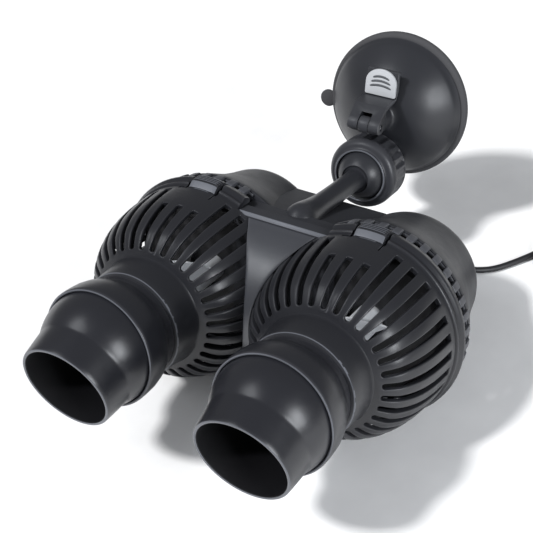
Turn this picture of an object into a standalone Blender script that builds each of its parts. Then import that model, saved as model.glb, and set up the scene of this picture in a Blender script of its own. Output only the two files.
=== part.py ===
"""Submersible twin-head aquarium circulation pump on a ball-jointed suction cup.

Every length below is in millimetres in the pump frame: X across the two heads, -Y the way the
water leaves, Z up, with the head axes at Z = 0.  MM turns it into metres.  The empty
"pump_frame" tips the pump nose-up by PITCH, the attitude in which it lies on a flat surface on
the rims of its strainer cages and the rear ends of its motor shells.
"""
import math

import bmesh
import bpy
from mathutils import Matrix, Vector

MM = 0.001
GAP = 0.35                # running and seam gap between touching pieces
SIDES = (("left", -1), ("right", 1))

# ---------------------------------------------------------------- driving dimensions
HEAD_X = 41.0             # half the distance between the two head axes
WALL = 2.2                # moulded wall of cages and shells

RIM_R = 46.0              # widest ring of a strainer cage
RIM_Y = 3.0
RIM_BACK_Y = 8.0
DOME_R = 43.6             # slotted dome where it meets the rim
COLLAR_R = 24.8           # outlet collar of the cage
COLLAR_FRONT_Y = -56.5
COLLAR_BACK_Y = -42.2
COLLAR_BORE_R = 22.0
SLOTS = 34                # long intake slots around one cage
SLOT_INNER_W = 2.7
SLOT_OUTER_W = 3.5
SHORT_SLOTS = 1           # slots each side of the top one that stop short under the clip
CLIP_HALF_W = 7.3

LUGS = 40                 # short lugs of the rear intake ring
LUG_SHARE = 0.5
RING_FRONT_Y = 8.4
RING_BASE_Y = 12.0
RING_BACK_Y = 14.0
RING_BORE_R = 40.4

SHELL_R = 42.4            # motor shell at its shoulder
SHELL_END_R = 31.6
SHELL_END_Y = 57.0
SHELL_LENGTH_Y = 62.5
MOTOR_R = 29.0            # motor chamber
MOTOR_BACK_Y = 57.5
PLUG_R = 36.0             # rotor can's flange

BRIDGE_HALF_W = 22.0
BRIDGE_TOP = 37.6
BRIDGE_BOTTOM = -34.0
DECK_BACK_Y = 14.0
WEB_END_Y = 58.0
WEB_END_Z = 26.8
COVER_R = 38.0            # barrel radius of the centre cover
COVER_Y = 8.4

BALL_Y = -76.3            # outlet ball joint
BALL_R = 25.6
LIP_Y = -79.2
LIP_R = 27.1
NECK_R = 22.6
NOZZLE_DOWN = 17.0        # how far the nozzles are tipped down, degrees
MOUTH_Y = -101.6
MOUTH_R = 20.9
TUBE_R = 22.4
TUBE_Y = -89.0
NOZZLE_WALL = 1.5

SPIDER_FRONT_Y = -43.6    # ring and arms in the collar that carry the shaft's front bush
SPIDER_BACK_Y = -39.6
PROP_R = 21.0
PROP_Y = -23.0
BLADES = 3
SHAFT_R = 1.5
SHAFT_FRONT_Y = -41.4
SHAFT_BACK_Y = 45.5
MAGNET_R = 9.2
MAGNET_FRONT_Y = 9.5
MAGNET_BACK_Y = 41.0
CAN_R = 10.2
CAN_WALL = 1.3

ARM_Z = 33.0              # arm, its ball and the clamp nut share this height
ARM_R = 5.0
ARM_BALL_Y = 81.5
ARM_BALL_R = 13.0
NUT_R = 17.6
NUT_FRONT_Y = 75.4
NUT_SHOULDER_Y = 80.2
NUT_BACK_Y = 92.2
NUT_RIBS = 22
BARREL_R = 15.2
SEAT_BACK_R = 14.5        # back of the rear seat, a sphere about the ball's centre

CUP_Z = 58.5              # suction cup axis
CUP_R = 36.8
CUP_APEX_Y = 92.0
CUP_CAP_R = 39.0          # radius of the cover's spherical cap
CUP_EDGE_R = 33.6
GLASS_Y = 117.4
PIN_Y = 77.4
PIN_Z = CUP_Z + 0.6
CAM_R = 4.6
CAM_RISE = 1.5            # how far the cam draws the stud out
EYE_HALF_W = 2.6
LEVER_HALF_W = 8.0

GLAND_X = 44.0
GLAND_Z = -13.0
GLAND_END_Y = 85.0

# The cord lies on the floor, so its places are world millimetres with the floor at Z = 0.
CORD_R = 1.6
COIL_COLUMNS = 3          # turns beside each other, and on each other
COIL_LAYERS = 4
COIL_MEAN_R = 18.6
COIL_HALF_W = COIL_COLUMNS * CORD_R
COIL_HEIGHT = 2 * COIL_LAYERS * CORD_R
COIL_CENTRE = (106.2, 107.9)
TIE_WALL = 0.8
FLOOR_LIFT = TIE_WALL + 0.3   # the tie passes under the coil
CORD_ARRIVES = 55.0       # headings from +X of the stretches that reach and leave the coil
CORD_LEAVES = -30.0
CORD_ROUTE = [
    (45.4, 71.4, 7.6), (49.8, 77.0, 4.7), (56.4, 81.3, 2.4), (63.4, 86.6, 1.7), (70.2, 94.6, 1.7),
    (77.0, 104.2, 1.9),
]
TAIL_ROUTE = [(134.4, 116.6, 11.2), (140.2, 111.9, 9.2), (143.5, 107.4, 7.6)]
PLUG_AT = (144.5, 102.6, 6.8)   # where the cord enters the plug, which points along -Y
PLUG_NECK = 16.0
PLUG_LENGTH = 28.0
PLUG_HALF_W = 12.2
PIN_R = 2.0
PIN_SPREAD = 9.3
PIN_LENGTH = 19.0

PITCH = math.degrees(math.atan2(RIM_R - SHELL_END_R, SHELL_END_Y - RIM_Y))


# ---------------------------------------------------------------- materials
def material(name, colour, roughness, metallic=0.0):
    mat = bpy.data.materials.get(name) or bpy.data.materials.new(name)
    mat.use_nodes = True
    shader = mat.node_tree.nodes["Principled BSDF"]
    shader.inputs["Base Color"].default_value = (*colour, 1.0)
    shader.inputs["Roughness"].default_value = roughness
    shader.inputs["Metallic"].default_value = metallic
    return mat


def housing_plastic():
    return material("housing_plastic", (0.045, 0.047, 0.052), 0.38)


def nozzle_plastic():
    return material("nozzle_plastic", (0.028, 0.029, 0.032), 0.30)


def impeller_plastic():
    return material("impeller_plastic", (0.62, 0.63, 0.64), 0.45)


def grip_plastic():
    return material("grip_plastic", (0.50, 0.51, 0.52), 0.50)


def liner_plastic():
    return material("liner_plastic", (0.30, 0.31, 0.32), 0.40)


def cup_rubber():
    return material("cup_rubber", (0.055, 0.056, 0.060), 0.55)


def seal_rubber():
    return material("seal_rubber", (0.03, 0.03, 0.03), 0.70)


def cord_rubber():
    return material("cord_rubber", (0.02, 0.02, 0.022), 0.50)


def magnet_ferrite():
    return material("magnet_ferrite", (0.08, 0.08, 0.085), 0.60, 0.2)


def shaft_ceramic():
    return material("shaft_ceramic", (0.85, 0.84, 0.80), 0.25)


def stator_potting():
    return material("stator_potting", (0.02, 0.02, 0.022), 0.50)


def pin_steel():
    return material("pin_steel", (0.60, 0.61, 0.63), 0.25, 1.0)


def plug_brass():
    return material("plug_brass", (0.72, 0.72, 0.70), 0.25, 1.0)


# ---------------------------------------------------------------- modelling helpers
def clear_scene():
    for obj in list(bpy.data.objects):
        bpy.data.objects.remove(obj, do_unlink=True)


def place(name, bm, mat, origin=(0.0, 0.0, 0.0), parent=None):
    """Turn a bmesh drawn in pump-frame millimetres into an object with its origin given."""
    bmesh.ops.recalc_face_normals(bm, faces=bm.faces)
    bmesh.ops.translate(bm, verts=bm.verts, vec=-Vector(origin))
    bmesh.ops.scale(bm, verts=bm.verts, vec=(MM, MM, MM))
    mesh = bpy.data.meshes.new(name)
    bm.to_mesh(mesh)
    bm.free()
    mesh.shade_smooth()
    mesh.set_sharp_from_angle(angle=math.radians(32))
    obj = bpy.data.objects.new(name, mesh)
    obj.location = Vector(origin) * MM
    obj.parent = parent
    if mat:
        mesh.materials.append(mat)
    bpy.context.scene.collection.objects.link(obj)
    return obj


def cutter(name, bm, parent):
    obj = place(name, bm, None, parent=parent)
    obj.hide_render = True
    obj.display_type = "WIRE"
    return obj


def boolean(obj, operand, operation="DIFFERENCE", solver="EXACT"):
    mod = obj.modifiers.new(operand.name, "BOOLEAN")
    mod.operation = operation
    mod.object = operand
    mod.solver = solver


def fuse(obj, operand):
    """Union for pieces with ring-shaped flat faces, which EXACT can leave open."""
    boolean(obj, operand, "UNION", "MANIFOLD")


def carve(obj, operand):
    boolean(obj, operand, "DIFFERENCE", "MANIFOLD")


def ring_of(bm, centre, y, r, angles):
    x, z = centre
    if r < 1e-6:
        return [bm.verts.new((x, y, z))] * len(angles)
    return [bm.verts.new((x + r * math.cos(a), y, z + r * math.sin(a))) for a in angles]


def skin(bm, low, high):
    count = len(low)
    for k in range(count):
        corner = [low[k], low[(k + 1) % count], high[(k + 1) % count], high[k]]
        corner = list(dict.fromkeys(corner))
        if len(corner) > 2:
            bm.faces.new(corner)


def turned(profile, centre=(0.0, 0.0), segments=32, bm=None):
    """A closed outline of (y, r) points turned about a Y axis through centre = (x, z)."""
    bm = bm or bmesh.new()
    angles = [2 * math.pi * k / segments for k in range(segments)]
    rings = [ring_of(bm, centre, y, r, angles) for y, r in profile]
    for low, high in zip(rings, rings[1:] + rings[:1]):
        skin(bm, low, high)
    return bm


def prism(outline, low, high, axis="x"):
    """A closed outline in the two other axes, in alphabetical order, pushed along one axis."""
    bm = bmesh.new()
    spot = "xyz".index(axis)
    ends = []
    for d in (low, high):
        ends.append([bm.verts.new((*point[:spot], d, *point[spot:])) for point in outline])
    bm.faces.new(ends[0])
    bm.faces.new(ends[1])
    skin(bm, ends[0], ends[1])
    return bm


def block(x, y, z):
    return prism([(y[0], z[0]), (y[1], z[0]), (y[1], z[1]), (y[0], z[1])], x[0], x[1])


def arc(cy, cz, radius, start, end, steps):
    """Points of an arc, angles in degrees from +Y towards +Z."""
    out = []
    for k in range(steps + 1):
        a = math.radians(start + (end - start) * k / steps)
        out.append((cy + radius * math.cos(a), cz + radius * math.sin(a)))
    return out


def sphere_profile(cy, radius, y_start, y_end, steps):
    """(y, r) points along a sphere between two stations on the turning axis."""
    a0 = math.acos(max(-1.0, min(1.0, (y_start - cy) / radius)))
    a1 = math.acos(max(-1.0, min(1.0, (y_end - cy) / radius)))
    steps_list = [a0 + (a1 - a0) * k / steps for k in range(steps + 1)]
    return [(cy + radius * math.cos(a), radius * math.sin(a)) for a in steps_list]


def cap_y(r):
    """Height of the cup cover's spherical cap at radius r from the cup axis."""
    return CUP_APEX_Y + CUP_CAP_R - math.sqrt(CUP_CAP_R ** 2 - r ** 2)


# ---------------------------------------------------------------- strainer cages
DOME_OUTER = [
    (COLLAR_FRONT_Y, COLLAR_R - 0.4), (COLLAR_BACK_Y, COLLAR_R + 0.8), (-41.6, 28.4),
    (-35.5, 36.2), (-18.5, 42.3), (-5.0, DOME_R), (0.0, DOME_R), (RIM_Y, RIM_R),
    (RIM_BACK_Y, RIM_R - 0.6),
]
DOME_INNER = [
    (COLLAR_FRONT_Y, COLLAR_BORE_R), (-41.0, COLLAR_BORE_R), (-39.2, 27.8),
    (-33.6, 34.6), (-17.6, 40.3), (-4.6, 41.4), (RIM_BACK_Y, 41.4),
]
OUTER_SLOT_STATIONS = (2, 3, 4, 5)
INNER_SLOT_STATIONS = (2, 3, 4, 5)


def dome_columns(bm, profile, first, last, centre):
    """Rings of a dome whose columns follow the edges of tapering slots."""
    pitch = 2 * math.pi / SLOTS
    rings = []
    for k, (y, r) in enumerate(profile):
        share = min(max((k - first) / (last - first), 0.0), 1.0)
        half = (SLOT_INNER_W + (SLOT_OUTER_W - SLOT_INNER_W) * share) / 2
        angles = []
        for i in range(SLOTS):
            mid = math.pi / 2 + i * pitch
            angles += [mid - half / r, mid + half / r]
        rings.append(ring_of(bm, centre, y, r, angles))
    return rings


def is_short(i):
    return i <= SHORT_SLOTS or i >= SLOTS - SHORT_SLOTS


def slotted_dome(centre):
    bm = bmesh.new()
    columns = 2 * SLOTS
    outer = dome_columns(bm, DOME_OUTER, 2, 5, centre)
    inner = dome_columns(bm, DOME_INNER, 2, 5, centre)

    def open_cell(i, k, stations):
        last = stations[-1] - (1 if is_short(i) else 0)
        return stations[0] <= k < last

    for rings, stations in ((outer, OUTER_SLOT_STATIONS), (inner, INNER_SLOT_STATIONS)):
        for k in range(len(rings) - 1):
            for c in range(columns):
                if c % 2 == 0 and open_cell(c // 2, k, stations):
                    continue
                d = (c + 1) % columns
                bm.faces.new((rings[k][c], rings[k][d], rings[k + 1][d], rings[k + 1][c]))
    skin(bm, outer[0], inner[0])
    skin(bm, outer[-1], inner[-1])
    for i in range(SLOTS):
        left, right = 2 * i, 2 * i + 1
        pairs = list(zip(OUTER_SLOT_STATIONS, INNER_SLOT_STATIONS))
        if is_short(i):
            pairs = pairs[:-1]
        for c in (left, right):
            for (o0, i0), (o1, i1) in zip(pairs, pairs[1:]):
                bm.faces.new((outer[o0][c], outer[o1][c], inner[i1][c], inner[i0][c]))
        for o, n in (pairs[0], pairs[-1]):
            bm.faces.new((outer[o][left], outer[o][right], inner[n][right], inner[n][left]))
    return bm


def strainer_cage(side, sign, parent):
    x = sign * HEAD_X
    cage = place(side + "_strainer_cage", slotted_dome((x, 0.0)), housing_plastic(), parent=parent)
    clip = block((x - CLIP_HALF_W, x + CLIP_HALF_W), (-3.6, 7.4), (42.6, 46.7))
    boolean(cage, cutter("cut_clip_" + side, clip, parent), "UNION")
    inner = sign * (BRIDGE_HALF_W + GAP)
    back = block(sorted((inner, -sign * 5.0)), (-2.4 - GAP, 20.0), (-60.0, 60.0))
    boolean(cage, cutter("cut_cage_back_" + side, back, parent))
    middle = block(sorted((sign * 0.4, -sign * 30.0)), (-60.0, 20.0), (-60.0, 60.0))
    boolean(cage, cutter("cut_cage_middle_" + side, middle, parent))
    return cage


def intake_ring(side, sign, parent):
    """Ring behind the cage rim whose lugs leave a row of short gaps."""
    x = sign * HEAD_X
    bm = bmesh.new()
    pitch = 2 * math.pi / LUGS
    half = pitch * LUG_SHARE / 2
    angles = []
    for i in range(LUGS):
        angles += [i * pitch - half, i * pitch + half]
    outer_r = {RING_FRONT_Y: RIM_R - 1.0, RING_BASE_Y: SHELL_R + 1.3, RING_BACK_Y: SHELL_R + 0.4}
    outer = {y: ring_of(bm, (x, 0.0), y, r, angles) for y, r in outer_r.items()}
    inner = {y: ring_of(bm, (x, 0.0), y, RING_BORE_R, angles) for y in outer_r}
    front, base, back = RING_FRONT_Y, RING_BASE_Y, RING_BACK_Y
    skin(bm, outer[base], outer[back])
    skin(bm, inner[base], inner[back])
    skin(bm, outer[back], inner[back])
    for c in range(2 * LUGS):
        d = (c + 1) % (2 * LUGS)
        y = front if c % 2 == 0 else base
        bm.faces.new((outer[y][c], outer[y][d], inner[y][d], inner[y][c]))
        if c % 2 == 0:
            for ring in (outer, inner):
                bm.faces.new((ring[front][c], ring[front][d], ring[base][d], ring[base][c]))
            for e in (c, d):
                bm.faces.new((outer[front][e], outer[base][e], inner[base][e], inner[front][e]))
    ring = place(side + "_intake_ring", bm, housing_plastic(), parent=parent)
    inner_x = sign * (BRIDGE_HALF_W + GAP)
    away = block(sorted((inner_x, -sign * 20.0)), (0.0, 30.0), (-60.0, 60.0))
    boolean(ring, cutter("cut_ring_" + side, away, parent))
    return ring


# ---------------------------------------------------------------- housing
def shell_profile():
    return [
        (RING_FRONT_Y, 0.0), (RING_FRONT_Y, RING_BORE_R - GAP), (RING_BACK_Y + GAP, RING_BORE_R - GAP),
        (RING_BACK_Y + GAP, SHELL_R), (20.0, 40.3), (28.0, 36.9), (36.0, 34.4), (46.0, 32.9),
        (SHELL_END_Y, SHELL_END_R), (60.4, 28.4), (62.0, 22.0), (SHELL_LENGTH_Y, 0.0),
    ]


def twin_housing(parent):
    web = [
        (-2.4, 32.0), (-2.4, BRIDGE_TOP), (-1.0, BRIDGE_TOP + 1.0), (5.0, BRIDGE_TOP + 1.0),
        (6.4, BRIDGE_TOP - 0.6), (DECK_BACK_Y, BRIDGE_TOP - 0.6), (DECK_BACK_Y + 2.4, 34.6),
        (WEB_END_Y, WEB_END_Z), (WEB_END_Y, BRIDGE_BOTTOM + 9.0), (DECK_BACK_Y, BRIDGE_BOTTOM),
        (0.0, BRIDGE_BOTTOM), (0.0, 32.0),
    ]
    bridge = prism(web, -BRIDGE_HALF_W, BRIDGE_HALF_W)
    housing = place("twin_housing", bridge, housing_plastic(), parent=parent)
    for side, sign in SIDES:
        x = sign * HEAD_X
        shell = cutter("add_shell_" + side, turned(shell_profile(), (x, 0.0), 32), parent)
        fuse(housing, shell)
    for side, sign in SIDES:
        x = sign * HEAD_X
        chamber = [
            (-6.0, 0.0), (-6.0, PLUG_R + GAP), (13.0, PLUG_R + GAP), (13.0, MOTOR_R),
            (48.0, MOTOR_R), (54.0, 26.0), (MOTOR_BACK_Y, 18.0), (MOTOR_BACK_Y, 0.0),
        ]
        carve(housing, cutter("cut_chamber_" + side, turned(chamber, (x, 0.0), 28), parent))
    well = turned(arm_profile(GAP), (0.0, ARM_Z), 16)
    carve(housing, cutter("cut_arm_well", well, parent))
    gland = [(50.0, 0.0), (50.0, 3.4), (70.0, 3.4), (70.0, 0.0)]
    hole = turned(gland, (GLAND_X, GLAND_Z), 16)
    carve(housing, cutter("cut_gland_hole", hole, parent))
    return housing


def centre_cover(parent):
    """Barrel-fronted panel that fills the valley between the two domes."""
    top = math.degrees(math.asin(36.6 / COVER_R))
    outline = arc(COVER_Y, 0.0, COVER_R, 180.0 - top, 180.0 + top, 22)
    outline += [(-3.0, -36.6), (-3.0, 36.6)]
    outline = [(min(y, -3.0), z) for y, z in outline]
    unique = list(dict.fromkeys(outline))
    cover = place("centre_cover", prism(unique, -21.0, 21.0), housing_plastic(), parent=parent)
    for side, sign in SIDES:
        solid = [(y - 0.1, r + GAP) for y, r in DOME_OUTER[1:7]]
        solid = [(-60.0, 0.0), (-60.0, COLLAR_R + 2.0)] + solid + [(5.0, DOME_R + GAP), (5.0, 0.0)]
        bm = turned(solid, (sign * HEAD_X, 0.0), 48)
        boolean(cover, cutter("cut_cover_" + side, bm, parent))
    return cover


# ---------------------------------------------------------------- outlet joints
def outlet_socket(side, sign, parent):
    x = sign * HEAD_X
    seat = BALL_R + GAP
    bore = COLLAR_BORE_R - GAP
    outline = [
        (-44.0, bore - 2.2), (-44.0, bore), (COLLAR_FRONT_Y - GAP, bore), (COLLAR_FRONT_Y - GAP, NECK_R),
        (-60.0, NECK_R + 0.2), (-64.5, 25.2), (-70.5, LIP_R - 0.3), (-77.6, LIP_R),
        (LIP_Y, LIP_R - 0.9),
    ]
    outline += sphere_profile(BALL_Y, seat, LIP_Y, -58.6, 4)
    outline += [(-56.0, bore - 2.2)]
    return place(side + "_outlet_socket", turned(outline, (x, 0.0), 24), nozzle_plastic(),
                 origin=(x, BALL_Y, 0.0), parent=parent)


def ball_nozzle(side, sign, parent):
    """Ball and tapering tube, drawn straight and then tipped down about the ball's centre."""
    x = sign * HEAD_X
    outline = sphere_profile(BALL_Y, BALL_R, -62.5, TUBE_Y, 5)
    outline += [(TUBE_Y - 0.8, TUBE_R), (MOUTH_Y + 0.8, MOUTH_R), (MOUTH_Y, MOUTH_R - 0.7)]
    outline += [(MOUTH_Y + 0.5, MOUTH_R - NOZZLE_WALL), (TUBE_Y, TUBE_R - NOZZLE_WALL - 0.6)]
    outline += [(-78.0, TUBE_R - 1.8), (-62.5, 19.0)]
    bm = turned(outline, (x, 0.0), 24)
    turn = Matrix.Rotation(math.radians(NOZZLE_DOWN), 4, "X")
    centre = Vector((x, BALL_Y, 0.0))
    bmesh.ops.transform(bm, verts=bm.verts, space=Matrix.Translation(-centre), matrix=turn)
    return place(side + "_ball_nozzle", bm, nozzle_plastic(), origin=centre, parent=parent)


# ---------------------------------------------------------------- hydraulics and motor
def shaft_spider(side, sign, parent):
    """Ring in the collar's bore with three arms and the hub that holds the front bush."""
    x = sign * HEAD_X
    r = COLLAR_BORE_R - GAP
    outline = [
        (SPIDER_FRONT_Y, r - 1.4), (SPIDER_FRONT_Y, r), (SPIDER_BACK_Y, r), (SPIDER_BACK_Y, r - 1.0),
    ]
    spider = place(side + "_shaft_spider", turned(outline, (x, 0.0), 32), housing_plastic(),
                   parent=parent)
    for k in range(3):
        arm = block((x - 0.9, x + 0.9), (SPIDER_FRONT_Y + 0.4, SPIDER_BACK_Y - 0.2), (4.2, r - 0.7))
        spin = Matrix.Rotation(math.radians(120 * k), 4, "Y")
        centre = Vector((x, 0.0, 0.0))
        bmesh.ops.transform(arm, verts=arm.verts, space=Matrix.Translation(-centre), matrix=spin)
        fuse(spider, cutter("add_spider_arm_%s_%d" % (side, k), arm, parent))
    hub = [(SPIDER_FRONT_Y, 3.15), (SPIDER_FRONT_Y, 5.0), (-38.4, 5.0), (-38.4, 3.15)]
    fuse(spider, cutter("add_spider_hub_" + side, turned(hub, (x, 0.0), 16), parent))
    return spider


def blade(x, turn_deg):
    """One broad twisted propeller blade as a thin closed grid rooted inside the hub."""
    bm = bmesh.new()
    rows = []
    for r in (5.0, 10.3, 15.7, PROP_R):
        share = (r - 5.0) / (PROP_R - 5.0)
        twist = math.radians(62 - 16 * share)
        chord = 12.0 + 15.0 * share
        row = []
        around = [(a, -0.6) for a in (-0.5, -0.17, 0.17, 0.5)]
        around += [(-a, 0.6) for a, _ in around]
        for along, thick in around:
            u = chord * along
            across = u * math.cos(twist) - thick * math.sin(twist)
            ahead = u * math.sin(twist) + thick * math.cos(twist)
            a = across / r
            row.append(bm.verts.new((r * math.sin(a), PROP_Y + ahead, r * math.cos(a))))
        rows.append(row)
    for low, high in zip(rows, rows[1:]):
        skin(bm, low, high)
    bm.faces.new(rows[0])
    bm.faces.new(rows[-1])
    turn = Matrix.Rotation(math.radians(turn_deg), 3, "Y")
    bmesh.ops.rotate(bm, verts=bm.verts, cent=(0, 0, 0), matrix=turn)
    bmesh.ops.translate(bm, verts=bm.verts, vec=(x, 0.0, 0.0))
    return bm


def propeller(side, sign, parent):
    x = sign * HEAD_X
    bore = SHAFT_R + GAP
    hub = [(-37.6, bore), (-37.6, 3.4), (-34.6, 6.0), (-30.0, 6.4), (8.8, 6.4), (8.8, bore)]
    prop = place(side + "_propeller", turned(hub, (x, 0.0), 24), impeller_plastic(),
                 origin=(x, PROP_Y, 0.0), parent=parent)
    for k in range(BLADES):
        part = cutter("add_blade_%s_%d" % (side, k), blade(x, 360 * k / BLADES + 30), parent)
        boolean(prop, part, "UNION")
    return prop


def simple_turned(name, outline, sign, mat, parent, segments=24, origin=None):
    x = sign * HEAD_X
    return place(name, turned(outline, (x, 0.0), segments), mat, origin or (x, 0.0, 0.0), parent)


def drive_train(side, sign, parent):
    x = sign * HEAD_X
    bore = SHAFT_R + GAP
    magnet = [
        (MAGNET_FRONT_Y, bore), (MAGNET_FRONT_Y, MAGNET_R), (MAGNET_BACK_Y, MAGNET_R),
        (MAGNET_BACK_Y, bore),
    ]
    simple_turned(side + "_rotor_magnet", magnet, sign, magnet_ferrite(), parent, 16,
                  (x, MAGNET_FRONT_Y, 0.0))
    shaft = [(SHAFT_FRONT_Y, 0.0), (SHAFT_FRONT_Y, SHAFT_R), (SHAFT_BACK_Y, SHAFT_R), (SHAFT_BACK_Y, 0.0)]
    simple_turned(side + "_rotor_shaft", shaft, sign, shaft_ceramic(), parent, 16)
    front = [(-43.0, 0.0), (-43.0, 2.8), (-38.9, 2.8), (-38.9, bore), (-41.8, bore), (-41.8, 0.0)]
    simple_turned(side + "_front_bush", front, sign, seal_rubber(), parent, 16)
    rear = [
        (42.4, bore), (42.4, 4.6), (46.8, 4.6), (46.8, 0.0), (SHAFT_BACK_Y + GAP, 0.0),
        (SHAFT_BACK_Y + GAP, bore),
    ]
    simple_turned(side + "_rear_bush", rear, sign, seal_rubber(), parent, 16)


def rotor_can(side, sign, parent):
    """Flange that plugs the motor chamber, with the blind well in which the rotor turns."""
    outer = CAN_R + CAN_WALL
    outline = [
        (4.6, CAN_R), (4.6, PLUG_R - 3.0), (6.6, PLUG_R), (8.6, PLUG_R), (8.6, PLUG_R - 1.9),
        (10.6, PLUG_R - 1.9), (10.6, PLUG_R), (12.6, PLUG_R), (12.6, outer), (48.2, outer),
        (48.2, 0.0), (47.2, 0.0), (47.2, 5.0), (41.6, 5.0), (41.6, CAN_R),
    ]
    simple_turned(side + "_rotor_can", outline, sign, housing_plastic(), parent, 20)
    r = PLUG_R - 0.9
    ring = [(9.0, r), (9.6, r + 0.6), (10.2, r), (9.6, r - 0.6)]
    simple_turned(side + "_can_seal", ring, sign, seal_rubber(), parent, 20)


def stator(side, sign, parent):
    inner = CAN_R + CAN_WALL + GAP
    outline = [
        (14.0, inner), (14.0, MOTOR_R - GAP), (46.5, MOTOR_R - GAP), (50.6, 26.2), (50.6, inner),
    ]
    simple_turned(side + "_stator", outline, sign, stator_potting(), parent, 20)


# ---------------------------------------------------------------- arm and ball joint
def arm_profile(offset=0.0):
    outline = [
        (6.0 - offset, 0.0), (6.0 - offset, 2.8 + offset), (DECK_BACK_Y + 0.4 - offset, 2.8 + offset),
        (DECK_BACK_Y + 0.4 - offset, 7.6 + offset), (19.0, 7.4 + offset), (27.0, 6.2 + offset),
        (36.0, 5.4 + offset), (66.0, ARM_R + offset), (70.2, ARM_R + 0.6 + offset),
    ]
    if offset:
        return outline + [(70.2, 0.0)]
    return outline + sphere_profile(ARM_BALL_Y, ARM_BALL_R, 70.2, ARM_BALL_Y + ARM_BALL_R, 7)[1:]


def swivel_arm(parent):
    return place("swivel_arm", turned(arm_profile(), (0.0, ARM_Z), 16), housing_plastic(),
                 parent=parent)


def rear_seat(parent):
    """Domed disc behind the ball; both its faces are spheres about the ball's centre."""
    seat = ARM_BALL_R + 0.3
    edge = math.cos(math.radians(32))
    outline = sphere_profile(ARM_BALL_Y, seat, ARM_BALL_Y + seat * edge, ARM_BALL_Y + seat, 4)
    outline += sphere_profile(
        ARM_BALL_Y, SEAT_BACK_R, ARM_BALL_Y + SEAT_BACK_R, ARM_BALL_Y + SEAT_BACK_R * edge, 4)
    return place("rear_ball_seat", turned(outline, (0.0, ARM_Z), 24), liner_plastic(),
                 origin=(0.0, ARM_BALL_Y, ARM_Z), parent=parent)


def front_seat(parent):
    seat = ARM_BALL_R + 0.3
    outline = sphere_profile(ARM_BALL_Y, seat, 77.6, 84.4, 4)
    outline += [(84.4, 14.8), (81.4, 14.8), (77.6, 13.4)]
    return place("front_ball_seat", turned(outline, (0.0, ARM_Z), 24), liner_plastic(),
                 origin=(0.0, ARM_BALL_Y, ARM_Z), parent=parent)


def clamp_nut(parent):
    """Knurled nut that squeezes the two seats on the ball."""
    bm = bmesh.new()
    count = 2 * NUT_RIBS
    angles = [2 * math.pi * k / count for k in range(count)]
    outline = [
        (NUT_FRONT_Y, 12.5, 0), (NUT_FRONT_Y, 12.9, 0), (76.8, 14.2, 0), (77.6, 16.0, 0),
        (NUT_SHOULDER_Y, NUT_R, 0), (81.4, NUT_R, 1), (NUT_BACK_Y - 0.8, NUT_R, 1), (NUT_BACK_Y, 16.8, 0),
        (NUT_BACK_Y, BARREL_R + GAP, 0), (80.6, BARREL_R + GAP, 0), (77.2, 13.8, 0), (77.0, 12.9, 0),
    ]
    rings = []
    for y, r, ribbed in outline:
        ring = []
        for k, a in enumerate(angles):
            rr = r - (0.7 if ribbed and k % 2 else 0.0)
            ring.append(bm.verts.new((rr * math.cos(a), y, ARM_Z + rr * math.sin(a))))
        rings.append(ring)
    for low, high in zip(rings, rings[1:] + rings[:1]):
        skin(bm, low, high)
    return place("clamp_nut", bm, housing_plastic(), origin=(0.0, ARM_BALL_Y, ARM_Z), parent=parent)


# ---------------------------------------------------------------- suction cup
def cup_cover(parent):
    centre = (0.0, CUP_Z)
    radii = (0.0, 9.0, 17.0, 24.5, 30.0, CUP_EDGE_R)
    outer = [(cap_y(r), r) for r in radii]
    outer += [(112.6, CUP_EDGE_R), (112.6, CUP_EDGE_R - 1.8)]
    inner = [(cap_y(r) + 2.6, r) for r in (30.6, 23.0, 12.0)]
    outline = outer + inner + [(cap_y(0.0) + 2.6, 0.0)]
    cover = place("cup_cover", turned(outline, centre, 28), housing_plastic(),
                  origin=(0.0, ARM_BALL_Y, ARM_Z), parent=parent)
    boss = [(82.4, 0.0), (82.4, 6.4), (92.0, 7.2), (94.5, 7.2), (94.5, 0.0)]
    fuse(cover, cutter("add_boss", turned(boss, centre, 24), parent))
    stud = [(70.0, 0.0), (70.0, 3.9), (110.0, 3.9), (110.0, 0.0)]
    carve(cover, cutter("cut_stud_hole", turned(stud, centre, 20), parent))
    barrel = [(84.8, 0.0), (84.8, BARREL_R), (95.0, BARREL_R), (103.4, 11.0), (103.4, 0.0)]
    fuse(cover, cutter("add_barrel", turned(barrel, (0.0, ARM_Z), 24), parent))
    pocket = SEAT_BACK_R + GAP
    throat = ARM_BALL_Y + math.sqrt(pocket ** 2 - 14.0 ** 2)
    bore = [(80.0, 0.0), (80.0, 14.0)]
    bore += sphere_profile(ARM_BALL_Y, pocket, throat, ARM_BALL_Y + pocket, 6)
    carve(cover, cutter("cut_barrel", turned(bore, (0.0, ARM_Z), 24), parent))
    return cover


def suction_cup(parent):
    """Soft cup under the cover; its glass side is flat at the edge and hollow in the middle."""
    centre = (0.0, CUP_Z)
    outline = [
        (103.4, 11.4), (104.4, 18.0), (108.6, 26.0), (112.95, 31.6), (113.1, CUP_R - 1.2),
        (114.4, CUP_R), (115.8, CUP_R), (GLASS_Y, CUP_R - 0.8), (GLASS_Y, 29.0), (115.4, 22.0),
        (113.8, 0.0), (110.0, 0.0), (110.0, 10.2), (103.4, 10.2),
    ]
    cup = place("suction_cup", turned(outline, centre, 28), cup_rubber(),
                origin=(0.0, ARM_BALL_Y, ARM_Z), parent=parent)
    tab = turned([(113.6, 0.0), (113.6, 4.4), (115.8, 4.4), (115.8, 0.0)],
                 (-CUP_R - 2.2, CUP_Z + 4.0), 16)
    boolean(cup, cutter("add_tab", tab, parent), "UNION")
    return cup


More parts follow.
